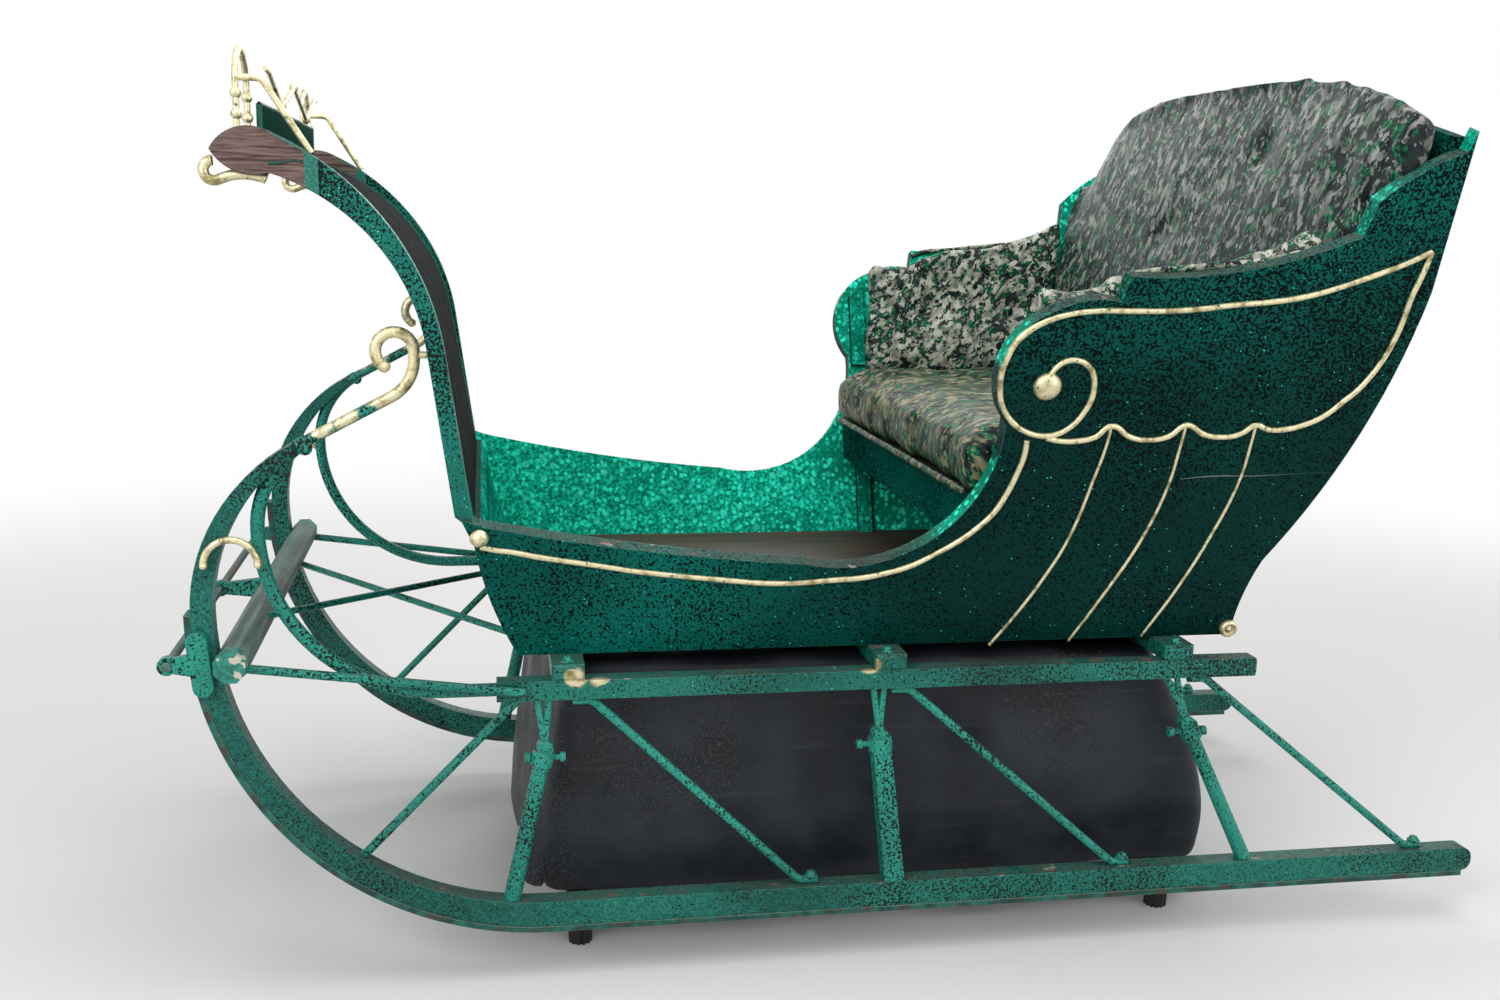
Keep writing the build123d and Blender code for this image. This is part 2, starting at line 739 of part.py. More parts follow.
# End stays: from the draft bar's ends back along the outside of the rails
with BuildPart() as end_stays:
    stay_y = runner_half_gauge + rail_width / 2 + end_stay_bar / 2 - iron_seat
    stay_x = draft_x + draft_bar_width / 2
    for side in (-1, 1):
        start = (stay_x - end_stay_depth, side * stay_y, draft_z - end_stay_drop)
        straight_bar(start, (nose_x + end_stay_run, side * stay_y, rail_middle), end_stay_bar)
    add(draft_bar.part, mode=Mode.SUBTRACT)
    add(side_rail.part, mode=Mode.SUBTRACT)
    mirror(side_rail.part, about=Plane.XZ, mode=Mode.SUBTRACT)
write(end_stays, "end_stays")

# Cross stays: from the draft bar to the front bolster, one passing over the other
bolster_front_x = nose_x + bolster_table[0][1] - bolster_width / 2
with BuildPart() as cross_stays:
    # Side of the draft bar's end, and how far the stay lies above the lower one at both ends
    for side, step, foot_step in ((-1, cross_stay_step, cross_stay_foot_step), (1, 0, 0)):
        start_z = draft_z - draft_bar_width / 4 + step
        end_z = rail_top + bolster_height / 2 - cross_stay_bar / 2 + foot_step
        straight_bar(
            (stay_x - cross_stay_depth, side * cross_stay_half_spread, start_z),
            (bolster_front_x + cross_stay_depth, -side * cross_stay_foot_spread, end_z),
            cross_stay_bar,
        )
    add(draft_bar.part, mode=Mode.SUBTRACT)
    with Locations((bolster_front_x + bolster_width / 2, 0, rail_top + bolster_height / 2)):
        Box(bolster_width, 2 * bolster_half_length, bolster_height, mode=Mode.SUBTRACT)
write(cross_stays, "cross_stays")

# Horns: small rolled feet under the heads of the dash
with BuildPart() as dash_horns:
    for side in (-1, 1):
        horn_y = side * (dash_half_width - dash_rail_width / 2)
        with BuildLine(Plane.XZ.offset(-horn_y)) as horn_line:
            horn = ThreePointArc(at(horn_root), at(horn_mid), at(horn_tip))
            JernArc(horn @ 1, horn % 1, horn_roll_radius, -horn_roll_sweep)
        bent_bar(horn_line.wire(), horn_bar)
    add(dash_rail.part, mode=Mode.SUBTRACT)
    mirror(dash_rail.part, about=Plane.XZ, mode=Mode.SUBTRACT)
write(dash_horns, "dash_horns")

# Rein hoops on the dash, each with a stay bent down to the rail behind it
with BuildPart() as rein_hoop:
    hoop_outer = dash_half_width - dash_rail_width / 2
    hoop_radius = hoop_width / 2
    hoop_x = nose_x + hoop_from_nose
    dash_crest = sole_z + dash_panel_end[1]
    hoop_spring = dash_crest + hoop_height - hoop_radius
    hoop_foot = dash_crest - hoop_seat
    with BuildLine(Plane.YZ.offset(hoop_x)) as hoop_line:
        outer_leg = Line((-hoop_outer, hoop_foot), (-hoop_outer, hoop_spring))
        over = JernArc(outer_leg @ 1, outer_leg % 1, hoop_radius, -180)
        Line(over @ 1, (-hoop_outer + hoop_width, hoop_foot))
    bent_bar(hoop_line.wire(), hoop_bar)
    for knob_up in hoop_knob_heights:
        with Locations(
            (hoop_x, -hoop_outer, dash_crest + knob_up),
            (hoop_x, -hoop_outer + hoop_width, dash_crest + knob_up),
        ):
            Sphere(hoop_knob_radius)
    with BuildLine(Plane.XZ.offset(hoop_outer)) as stay_line:
        stay_top = dash_crest + hoop_height - hoop_stay_drop
        knee_x = hoop_x + hoop_stay_run
        FilletPolyline(
            (hoop_x, stay_top),
            (knee_x, stay_top),
            at(hoop_stay_foot),
            radius=hoop_stay_bend,
        )
    bent_bar(stay_line.wire(), hoop_bar)
    add(dash_rail.part, mode=Mode.SUBTRACT)
    add(dash_panel.part, mode=Mode.SUBTRACT)
write_pair(rein_hoop, "rein_hoop")

# Mesh band between the hoops, standing on the dash panel
with BuildPart() as rein_mesh:
    mesh_half = hoop_outer - hoop_width - hoop_bar / 2
    mesh_low = hoop_foot
    mesh_high = dash_crest + mesh_height
    with Locations((nose_x + mesh_from_nose, 0, (mesh_low + mesh_high) / 2)):
        Box(mesh_thickness, 2 * mesh_half, mesh_high - mesh_low)
    add(dash_panel.part, mode=Mode.SUBTRACT)
write(rein_mesh, "rein_mesh")

# Seat cushion, crowned and rolled over the apron
with BuildPart() as seat_cushion:
    cushion_low = sole_z + seat_up + soft_gap
    cushion_front = seat_x - seat_cushion_overhang
    cushion_back = nose_x + seat_cushion_rear
    cushion_half = inner_half(cushion_low) - soft_gap
    with Locations(((cushion_front + cushion_back) / 2, 0, cushion_low + seat_cushion_height / 2)):
        Box(cushion_back - cushion_front, 2 * cushion_half, seat_cushion_height)
    fillet(seat_cushion.edges().group_by(Axis.Z)[-1], soft_round)
    fillet(seat_cushion.faces().sort_by(Axis.X)[0].edges().sort_by(Axis.Z)[0], soft_round)
write(seat_cushion, "seat_cushion")

# Back cushion, leaning with the back panel and arched over it
with BuildPart() as back_cushion:
    with BuildSketch(Plane.XZ):
        with BuildLine():
            low = (panel_rear_mid[0], back_cushion_foot[1])
            high = (panel_tip[0], cushion_crown)
            back_gap = board_thickness + soft_gap
            Line(before(low, back_gap), before(panel_rear_top, back_gap))
            Line(before(panel_rear_top, back_gap), before(panel_tip, back_gap))
            Line(before(panel_tip, back_gap), before(high, back_gap))
            Line(before(high, back_gap), at(back_cushion_crown))
            Line(at(back_cushion_crown), at(back_cushion_top))
            ThreePointArc(at(back_cushion_top), at(back_cushion_mid), at(back_cushion_foot))
            Line(at(back_cushion_foot), before(low, back_gap))
        make_face()
    extrude(amount=body_reach, both=True)
    with BuildSketch(Plane.YZ):
        with BuildLine():
            arch(cushion_shoulder, cushion_crown)
        make_face()
    extrude(amount=body_reach * 2, both=True, mode=Mode.INTERSECT)
    add(body_space.part, mode=Mode.INTERSECT)
    add(back_panel.part, mode=Mode.SUBTRACT)
write(back_cushion, "back_cushion")

# Arm pads, on the inner faces of the side panels
with BuildPart() as arm_pad:
    pad_plane = panel_plane.offset(-panel_thickness - soft_gap)
    with BuildSketch(pad_plane):
        with BuildLine():
            pad_drop = (panel_thickness + soft_gap) * math.sin(math.radians(flare))
            pad_low = cushion_up + 2 * soft_gap - pad_drop
            Polyline(
                on_side((arm_pad_front, pad_low)),
                on_side((arm_pad_front + arm_pad_lean, panel_shelf[1] - arm_pad_top)),
                on_side((panel_arm[0], panel_arm[1] - arm_pad_top)),
                on_side((back_cushion_mid[0] - arm_pad_clear, panel_arm[1] - arm_pad_top)),
                on_side((back_cushion_foot[0] - arm_pad_clear, pad_low)),
                close=True,
            )
        make_face()
    extrude(amount=-arm_pad_thickness)
write_pair(arm_pad, "arm_pad")

# Bench: a padded block with bowed ends that spread towards the floor
with BuildPart() as plinth_bench:
    for up, front, rear, half in bench_table:
        front_x = nose_x + front
        rear_x = nose_x + rear
        with BuildSketch(Plane.XY.offset(sole_z + up)):
            with BuildLine():
                Line((front_x, -half), (rear_x, -half))
                ThreePointArc((rear_x, -half), (rear_x + bench_bow, 0), (rear_x, half))
                Line((rear_x, half), (front_x, half))
                ThreePointArc((front_x, half), (front_x - bench_bow, 0), (front_x, -half))
            make_face()
            fillet(vertices(), bench_round)
    loft(ruled=True)
write(plinth_bench, "plinth_bench")

# Feet of the bench, turned to a taper and fluted
bench_up, bench_front, bench_rear, bench_half = bench_table[0]
foot_top = sole_z + bench_up
with BuildPart() as plinth_feet:
    for from_nose in (bench_front + bench_foot_inset, bench_rear - bench_foot_inset):
        for side in (-1, 1):
            foot_place = (nose_x + from_nose, side * (bench_half - bench_foot_side_inset))
            for height, radius in ((0, bench_foot_radius - bench_foot_taper), (foot_top, bench_foot_radius)):
                with BuildSketch(Plane.XY.offset(height)):
                    with Locations(foot_place):
                        Circle(radius)
                        with PolarLocations(radius, bench_flutes):
                            Circle(flute_radius, mode=Mode.SUBTRACT)
            loft(ruled=True)
write(plinth_feet, "plinth_feet")
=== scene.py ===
"""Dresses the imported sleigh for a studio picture: paint, gilt trim, upholstery and small irons."""
import math
import random

import bmesh
import bpy
from mathutils import Matrix, Vector, noise
from mathutils.bvhtree import BVHTree


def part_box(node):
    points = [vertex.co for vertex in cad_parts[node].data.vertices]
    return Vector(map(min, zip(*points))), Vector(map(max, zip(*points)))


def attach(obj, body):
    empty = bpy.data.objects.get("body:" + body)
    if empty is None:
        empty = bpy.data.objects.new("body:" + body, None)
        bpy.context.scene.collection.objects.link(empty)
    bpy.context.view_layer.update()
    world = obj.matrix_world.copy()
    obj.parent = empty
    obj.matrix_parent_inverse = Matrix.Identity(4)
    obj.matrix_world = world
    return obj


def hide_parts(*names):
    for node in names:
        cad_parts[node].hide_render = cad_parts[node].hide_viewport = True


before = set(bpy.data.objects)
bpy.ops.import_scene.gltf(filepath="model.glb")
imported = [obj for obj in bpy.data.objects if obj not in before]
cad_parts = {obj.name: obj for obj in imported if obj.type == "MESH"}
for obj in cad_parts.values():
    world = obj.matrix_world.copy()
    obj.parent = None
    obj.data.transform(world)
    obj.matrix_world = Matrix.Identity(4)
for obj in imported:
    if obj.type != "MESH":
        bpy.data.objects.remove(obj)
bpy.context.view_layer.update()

# Places from the frame, in metres
shoe_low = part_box("shoe_left")[0]
cushion_low, cushion_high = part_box("seat_cushion")
mesh_low, mesh_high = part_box("rein_mesh")
nose_x = shoe_low.x
sole_z = shoe_low.z
runner_face_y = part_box("runner_left")[0].y
rail_face_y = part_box("side_rail_left")[0].y
head_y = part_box("dash_rail_left")[0].y
MM = 0.001

# The photograph's camera
image_width = 1500
image_height = 1000
sensor_width = 36
lens = 35.43
camera_place = Vector((-0.542, -2.305, 1.049))
camera_yaw = math.radians(10.33)
camera_pitch = math.radians(10.90)
camera_roll = math.radians(1.29)

# The outer face of the left side panel: its distance from the middle at a height, and its flare
panel_base_z = 0.453
panel_base_y = 0.344
panel_flare = 0.3191

MIRROR = Matrix.Scale(-1, 4, Vector((0, 1, 0)))
random.seed(7)


def at(from_nose, y, up):
    """A point in the frame, from millimetres behind the nose, off the middle and above the soles."""
    return Vector((nose_x + from_nose * MM, y * MM, sole_z + up * MM))


def camera_axes():
    """Right, up and forward of the photograph's camera."""
    level = Vector((math.sin(camera_yaw), math.cos(camera_yaw), 0))
    forward = level * math.cos(camera_pitch) - Vector((0, 0, math.sin(camera_pitch)))
    flat_right = forward.cross(Vector((0, 0, 1))).normalized()
    flat_up = flat_right.cross(forward)
    right = math.cos(camera_roll) * flat_right + math.sin(camera_roll) * flat_up
    up = math.cos(camera_roll) * flat_up - math.sin(camera_roll) * flat_right
    return right, up, forward


RIGHT, UP, FORWARD = camera_axes()


def ray(pixel):
    """The direction from the camera through a pixel of the photograph."""
    focal = image_width * lens / sensor_width
    across = (pixel[0] - image_width / 2) / focal
    down = (pixel[1] - image_height / 2) / focal
    return FORWARD + across * RIGHT - down * UP


def on_panel(pixel, lift=0.0):
    """The point of the left side panel's outer face under a pixel, lifted off it along y."""
    line = ray(pixel)
    base_y = -panel_base_y - lift
    rest = base_y - panel_flare * (camera_place.z - panel_base_z) - camera_place.y
    return camera_place + line * (rest / (line.y + panel_flare * line.z))


def on_plane(pixel, y):
    """The point under a pixel at this distance from the middle."""
    line = ray(pixel)
    return camera_place + line * ((y - camera_place.y) / line.y)


class Tree:
    """A material's nodes, with short calls for the ones that this scene uses."""

    def __init__(self, name):
        self.material = bpy.data.materials.new(name)
        self.material.use_nodes = True
        self.nodes = self.material.node_tree.nodes
        self.links = self.material.node_tree.links
        self.shader = self.nodes["Principled BSDF"]
        geometry = self.add("ShaderNodeNewGeometry")
        self.place = geometry.outputs["Position"]
        self.normal = geometry.outputs["Normal"]
        self.x, self.y, self.z = self.split(self.place)
        self.facing_up = self.split(self.normal)[2]

    def add(self, kind, inputs=None, **settings):
        node = self.nodes.new(kind)
        for name, value in settings.items():
            setattr(node, name, value)
        for name, value in (inputs or {}).items():
            self.feed(node.inputs[name], value)
        return node

    def feed(self, socket, value):
        """Links a socket, or sets the value or colour that it has by itself."""
        if isinstance(value, bpy.types.NodeSocket):
            self.links.new(value, socket)
        elif isinstance(value, tuple) and socket.type == "RGBA":
            socket.default_value = (*value, 1)
        else:
            socket.default_value = value

    def split(self, vector):
        node = self.add("ShaderNodeSeparateXYZ", {"Vector": vector})
        return node.outputs["X"], node.outputs["Y"], node.outputs["Z"]

    def math(self, operation, first, second=0.0):
        return self.add("ShaderNodeMath", {0: first, 1: second}, operation=operation).outputs[0]

    def vector_math(self, operation, first, second, output="Value"):
        node = self.add("ShaderNodeVectorMath", {0: first, 1: second}, operation=operation)
        return node.outputs[output]

    def size_of(self, value):
        return self.math("ABSOLUTE", value)

    def step(self, value, low, high):
        """0 below low, 1 above high, smooth between them."""
        inputs = {"Value": value, "From Min": low, "From Max": high}
        node = self.add("ShaderNodeMapRange", inputs, interpolation_type="SMOOTHSTEP")
        return node.outputs["Result"]

    def both(self, first, second):
        return self.math("MULTIPLY", first, second)

    def either(self, first, second):
        return self.math("MAXIMUM", first, second)

    def inverse(self, value):
        return self.math("SUBTRACT", 1.0, value)

    def without(self, first, second):
        return self.both(first, self.inverse(second))

    def plus(self, first, second, share=1.0):
        """The sum of the first and a share of the second."""
        if share != 1.0:
            second = self.both(second, share)
        return self.math("ADD", first, second)

    def mix(self, factor, low, high, share=1.0):
        """A blend from low to high, of which only a share shows."""
        if share != 1.0:
            factor = self.both(factor, share)
        node = self.add("ShaderNodeMix", data_type="RGBA")
        self.feed(node.inputs[0], factor)
        self.feed(node.inputs[6], low)
        self.feed(node.inputs[7], high)
        return node.outputs[2]

    def noise(self, scale, detail=3.0, vector=None, roughness=0.5):
        inputs = {"Vector": vector or self.place, "Scale": scale, "Detail": detail, "Roughness": roughness}
        return self.add("ShaderNodeTexNoise", inputs).outputs["Fac"]

    def patches(self, scale, low, high, detail=3.0, vector=None, roughness=0.5):
        """Noise cut into patches: 0 where it is below low, 1 where it is above high."""
        return self.step(self.noise(scale, detail, vector, roughness), low, high)

    def stretched(self, x, y, z):
        """The place with each axis scaled."""
        return self.add("ShaderNodeMapping", {"Vector": self.place, "Scale": (x, y, z)}).outputs["Vector"]

    def cells(self, scale, feature="F1"):
        return self.add("ShaderNodeTexVoronoi", {"Vector": self.place, "Scale": scale}, feature=feature)

    def discs(self, scale, rim, lit):
        """Round flakes, one to a cell and of random brightness; rim and lit are each a low and a high."""
        flakes = self.cells(scale)
        disc = self.inverse(self.step(flakes.outputs["Distance"], *rim))
        return self.both(disc, self.step(self.split(flakes.outputs["Color"])[0], *lit))

    def spot(self, place, radius):
        """1 around a place, with a ragged edge."""
        away = self.vector_math("DISTANCE", self.place, place)
        ragged = self.plus(away, self.noise(60), share=radius)
        return self.inverse(self.step(ragged, low=radius * 1.2, high=radius * 1.5))

    def past(self, line):
        """How far the place lies past a line through two pixels at the dash head, as seen from the side."""
        raggedness = 0.006
        first, second = [on_plane(pixel, head_y) for pixel in line]
        along = (second - first).normalized()
        outward = Vector((along.z, 0, -along.x))
        away = self.vector_math("DOT_PRODUCT", self.place, outward)
        ragged = self.plus(away, self.noise(160), share=raggedness)
        return self.math("SUBTRACT", ragged, first.dot(outward) + raggedness / 2)

    def edges(self, radius):
        """1 on the edges of the mesh, and the rounded normal there."""
        rounded = self.add("ShaderNodeBevel", {"Radius": radius}, samples=4).outputs["Normal"]
        turn = self.vector_math("DOT_PRODUCT", rounded, self.normal)
        return self.inverse(self.step(turn, low=0.78, high=0.995)), rounded

    def bump(self, height, strength, distance, normal=None):
        inputs = {"Height": height, "Strength": strength, "Distance": distance}
        if normal:
            inputs["Normal"] = normal
        return self.add("ShaderNodeBump", inputs).outputs["Normal"]

    def done(self, colour, roughness, normal=None, metallic=0.0, gloss=0.5):
        self.feed(self.shader.inputs["Base Color"], colour)
        self.feed(self.shader.inputs["Roughness"], roughness)
        self.feed(self.shader.inputs["Metallic"], metallic)
        self.feed(self.shader.inputs["Specular IOR Level"], gloss)
        if normal:
            self.feed(self.shader.inputs["Normal"], normal)
        return self.material


# Colours, linear
# Painted shade for the lower rear of the side panels
TEAL_PAINTED_SHADE = (0.001, 0.017, 0.015)
TEAL = (0.002, 0.052, 0.042)
TEAL_MID = (0.002, 0.098, 0.077)
TEAL_LIGHT = (0.004, 0.19, 0.148)
IRON_GREEN = (0.008, 0.125, 0.096)
IRON_GREEN_LIGHT = (0.016, 0.24, 0.178)
IRON_BRIGHT = (0.03, 0.36, 0.27)
STRAP_GREEN = (0.10, 0.22, 0.18)
# The inside's greens: the paint's own glitter green, raised further as painted light
INNER_GREEN = (0.001, 0.20, 0.118)
INNER_LIGHT = (0.01, 0.72, 0.48)
INNER_DISC = (0.03, 0.93, 0.66)
SPARKLE = (0.08, 0.98, 0.74)
SOOT = (0.001, 0.006, 0.006)
DUST = (0.075, 0.085, 0.072)
# Edge colour, partly wear and partly a painted highlight
ARRIS_WEAR_AND_HIGHLIGHT = (0.09, 0.36, 0.27)
RED_CHIP = (0.42, 0.07, 0.06)
PALE_CHIP = (0.55, 0.5, 0.42)
GILT_LIGHT = (0.72, 0.65, 0.41)
GILT_DARK = (0.25, 0.20, 0.08)
GILT_SPECK = (0.02, 0.16, 0.11)
BARE_WOOD = (0.21, 0.14, 0.125)
BARE_WOOD_DARK = (0.055, 0.034, 0.031)
SLATE = (0.030, 0.038, 0.040)
SLATE_DARK = (0.003, 0.006, 0.007)
CLOTH_GREEN = (0.008, 0.16, 0.07)
CLOTH_GREEN_DARK = (0.003, 0.030, 0.016)
SILVER = (0.25, 0.262, 0.24)
SILVER_DARK = (0.085, 0.092, 0.084)
LEATHER = (0.022, 0.026, 0.034)
LEATHER_DARK = (0.008, 0.010, 0.013)
LEATHER_PIT = (0.052, 0.052, 0.05)
LEATHER_STREAK = (0.055, 0.06, 0.07)
DASH_GREY = (0.014, 0.018, 0.017)
DASH_DARK = (0.003, 0.005, 0.005)
DASH_GREEN = (0.001, 0.14, 0.09)
WIRE_GREEN = (0.01, 0.16, 0.11)
WIRE_DARK = (0.004, 0.035, 0.026)

# Flakes inside the body: cells in a metre, the least bright one that shows, and its colour
INNER_FLAKES = ((118, 0.45, INNER_DISC), (92, 0.30, INNER_DISC), (64, 0.72, SPARKLE))

# Where the bare wood of the dash heads ends, and the strap behind it, by pixels of the photograph
HEAD_LINE = ((303, 152), (268, 132))
HEAD_END = ((304, 180), (303, 152))
STRAP_END = ((320, 188), (319, 166))
line_edge = 0.001
strap_gap = 0.0012

# Where gilt is left on the irons, and scuffs on the bench, by pixels, with each radius in metres
FENDER_GILT = [((400, 350), 0.055), ((398, 385), 0.05), ((318, 426), 0.024), ((342, 415), 0.024)]
RUNNER_GILT = [((322, 424), 0.024), ((344, 415), 0.020)]
RAIL_GILT = [((575, 678), 0.017), ((600, 677), 0.015), ((870, 665), 0.015)]
BENCH_SCUFFS = [((668, 745), 0.13), ((1060, 712), 0.11)]


def both_sides(pixels, y):
    """Places under pixels at this distance from the middle, and their mirror images, with their radii."""
    spots = [(on_plane(pixel, y), radius) for pixel, radius in pixels]
    return spots + [(MIRROR @ place, radius) for place, radius in spots]


def lit_inner_glitter(tree):
    """The inside of the body: a mottled green ground under discs of glitter, its greens raised above the
    paint's own as painted light.
    """
    mottle = tree.patches(scale=170, detail=2, low=0.35, high=0.7)
    field = tree.patches(scale=5, low=0.35, high=0.6)
    colour = tree.mix(tree.both(mottle, field), INNER_GREEN, INNER_LIGHT)
    for scale, least, flake_colour in INNER_FLAKES:
        flakes = tree.discs(scale, rim=(0.34, 0.46), lit=(least, least + 0.5))
        colour = tree.mix(flakes, colour, flake_colour)
    return colour


def soot_dots(tree, least, cluster):
    """Dots of soot, thicker in patches and towards the top."""
    height = tree.step(tree.z, low=0.55, high=1.0)
    patch = tree.patches(scale=6, low=0.3, high=0.7)
    amount = tree.plus(tree.both(height, 0.08), patch, share=cluster)
    return tree.step(tree.plus(tree.noise(265, detail=1.5), amount), low=least, high=least + 0.05)


def glints(tree):
    """Painted glints: single bright flakes of glitter, one in a few hundred."""
    flakes = tree.cells(520)
    picked = tree.step(tree.split(flakes.outputs["Color"])[1], low=0.9965, high=0.998)
    return tree.both(picked, tree.math("LESS_THAN", flakes.outputs["Distance"], 0.42))


def chipped(tree, colour, edge, top):
    """Red and pale chips along the edges, and a few on the tops."""
    bared = tree.either(tree.step(edge, low=0.15, high=0.6), tree.both(top, 0.35))
    chips = tree.both(bared, tree.patches(scale=38, low=0.66, high=0.69))
    chip_colour = tree.mix(tree.patches(scale=22, low=0.52, high=0.56), RED_CHIP, PALE_CHIP)
    return tree.mix(chips, colour, chip_colour)


def bare_head(tree, colour, fine, edge):
    """The bare wood of a dash head, the green strap behind it and the dark gap at the strap's end."""
    side = tree.step(tree.size_of(tree.split(tree.normal)[1]), low=0.6, high=0.8)
    above = tree.step(tree.past(HEAD_LINE), 0.0, line_edge)
    behind = tree.step(tree.past(HEAD_END), 0.0, line_edge)
    past_strap = tree.past(STRAP_END)
    strap = tree.without(side, tree.step(past_strap, 0.0, line_edge))
    colour = tree.mix(strap, colour, tree.mix(fine, TEAL_LIGHT, STRAP_GREEN), share=0.75)
    gap = tree.math("LESS_THAN", tree.size_of(past_strap), strap_gap)
    colour = tree.mix(tree.both(gap, side), colour, SOOT)
    along_grain = tree.stretched(14, 60, 260)
    grain = tree.patches(scale=1.0, detail=6, vector=along_grain, roughness=0.7, low=0.38, high=0.62)
    wood = tree.mix(grain, BARE_WOOD_DARK, BARE_WOOD)
    wood = tree.mix(edge, wood, BARE_WOOD_DARK, share=0.7)
    return tree.mix(tree.without(tree.without(side, behind), above), colour, wood)


def gilt_colour(tree):
    """Gold, darker in its worn patches."""
    patch = tree.patches(scale=60, detail=6, roughness=0.6, low=0.3, high=0.54)
    return tree.mix(patch, GILT_DARK, GILT_LIGHT)


def green_paint(
    name, dark, base, light, dots, gilt_spots=(), top_dust=0.55, bare=False, low_shade=0.0, gloss=0.25,
    cluster=0.14, glitter=0.0,
):
    """Old green paint: soot dots, glitter, dusty tops, chips on its edges, and gilt left in places; painted
    shade on its lower rear, painted light on faces tilted upwards, painted glints, and edges lightened
    partly by wear and partly as a painted highlight.
    """
    tree = Tree(name)
    high_up = tree.step(tree.z, low=0.8, high=1.2)
    clouds = tree.step(tree.plus(tree.noise(4.5, detail=5), high_up, share=0.22), low=0.3, high=0.72)
    fine = tree.patches(scale=380, detail=2, low=0.38, high=0.66)
    outside = tree.mix(fine, tree.mix(clouds, dark, base), tree.mix(clouds, base, light))
    # Painted shade: the rear of the paint darkens low down, by the share low_shade gives
    rear = tree.step(tree.x, low=-0.40, high=0.15)
    shade = tree.without(rear, tree.step(tree.z, low=0.65, high=1.25))
    outside = tree.mix(shade, outside, TEAL_PAINTED_SHADE, share=low_shade)
    top = tree.step(tree.facing_up, low=0.6, high=0.92)
    # Painted light, partly real glitter: faces tilted a little upwards, as inside the flared panels, take
    # the bright inside colour in the share that glitter gives
    lit_slope = tree.without(tree.step(tree.facing_up, low=0.12, high=0.25), top)
    inward = tree.both(lit_slope, glitter)
    colour = tree.mix(inward, outside, lit_inner_glitter(tree))
    soot = tree.without(soot_dots(tree, dots, cluster), tree.both(inward, 0.9))
    colour = tree.mix(soot, colour, SOOT)
    colour = tree.mix(glints(tree), colour, SPARKLE)
    dusty = tree.both(top, tree.patches(scale=32, detail=6, roughness=0.65, low=0.25, high=0.62))
    dust = tree.both(dusty, top_dust)
    colour = tree.mix(dust, colour, DUST)
    edge, rounded = tree.edges(0.0022)
    # Edges lightened, partly by wear and partly as a painted highlight
    worn = tree.both(edge, tree.patches(scale=45, detail=5, low=0.38, high=0.6))
    colour = tree.mix(worn, colour, ARRIS_WEAR_AND_HIGHLIGHT, share=0.6)
    colour = chipped(tree, colour, edge, top)
    if bare:
        colour = bare_head(tree, colour, fine, edge)
    gilding = 0.0
    for place, radius in gilt_spots:
        gilding = tree.either(gilding, tree.spot(place, radius))
    metallic = 0.0
    if gilt_spots:
        colour = tree.mix(gilding, colour, gilt_colour(tree))
        metallic = tree.both(gilding, 0.75)
    roughness = tree.plus(0.36, tree.either(dust, soot), share=0.3)
    lumps = tree.plus(tree.both(tree.noise(230, detail=2), 0.6), tree.noise(40), share=0.8)
    normal = tree.bump(lumps, strength=0.5, distance=0.0007, normal=rounded)
    return tree.done(colour, roughness, normal, metallic, gloss)


def gilt_paint(name):
    """Gold paint, rubbed dark in its hollows, with specks of green."""
    tree = Tree(name)
    rounded = tree.edges(0.0015)[1]
    speck = tree.patches(scale=160, detail=2, low=0.66, high=0.7)
    colour = tree.mix(speck, gilt_colour(tree), GILT_SPECK)
    roughness = tree.plus(0.27, tree.noise(70), share=0.3)
    normal = tree.bump(tree.noise(260), strength=0.6, distance=0.0009, normal=rounded)
    return tree.done(colour, roughness, normal, metallic=tree.both(tree.inverse(speck), 0.8))


def worn_iron(name, dark, light, rust):
    """Iron with rust blooms on what is left of its paint."""
    tree = Tree(name)
    edge, rounded = tree.edges(0.0015)
    colour = tree.mix(tree.patches(scale=60, detail=5, low=0.35, high=0.65), dark, light)
    blooms = tree.patches(scale=28, detail=6, roughness=0.7, low=0.50, high=0.62)
    colour = tree.mix(blooms, colour, rust)
    colour = tree.mix(edge, colour, PALE_CHIP, share=0.5)
    normal = tree.bump(tree.noise(180, detail=4), strength=0.6, distance=0.001, normal=rounded)
    return tree.done(colour, roughness=0.6, normal=normal, metallic=0.3)


def boards(name, dark, light, grain_axis, scratches=0.0, painted_from=None):
    """Bare wood whose grain runs along one axis, with green ends from this far out, if any."""
    tree = Tree(name)
    across_grain = 70
    along_grain = 4
    edge_gain = 2.2
    scale = [across_grain] * 3
    scale[grain_axis] = along_grain
    grain = tree.noise(1.0, detail=6, vector=tree.stretched(*scale), roughness=0.62)
    edge, rounded = tree.edges(0.0018)
    colour = tree.mix(tree.step(grain, low=0.33, high=0.66), dark, light)
    colour = tree.mix(tree.patches(scale=7, detail=4, low=0.42, high=0.7), colour, dark, share=0.5)
    colour = tree.mix(tree.patches(scale=110, low=0.62, high=0.72), colour, DUST, share=scratches)
    colour = tree.mix(edge, colour, tuple(min(1, part * edge_gain) for part in light), share=0.45)
    if painted_from is not None:
        out = tree.plus(tree.size_of(tree.y), tree.noise(70), share=0.02)
        paint = tree.mix(tree.patches(scale=120, low=0.4, high=0.6), IRON_GREEN, IRON_GREEN_LIGHT)
        paint = tree.mix(tree.patches(scale=45, low=0.58, high=0.61), paint, PALE_CHIP)
        colour = tree.mix(tree.step(out, low=painted_from, high=painted_from + 0.003), colour, paint)
    normal = tree.bump(grain, strength=0.5, distance=0.0012, normal=rounded)
    return tree.done(colour, roughness=0.62, normal=normal)


def warmed(colour, change, warm, light):
    """A colour shifted by so much of a change, then brightened as painted light."""
    return tuple((part + warm * shift) * light for part, shift in zip(colour, change))


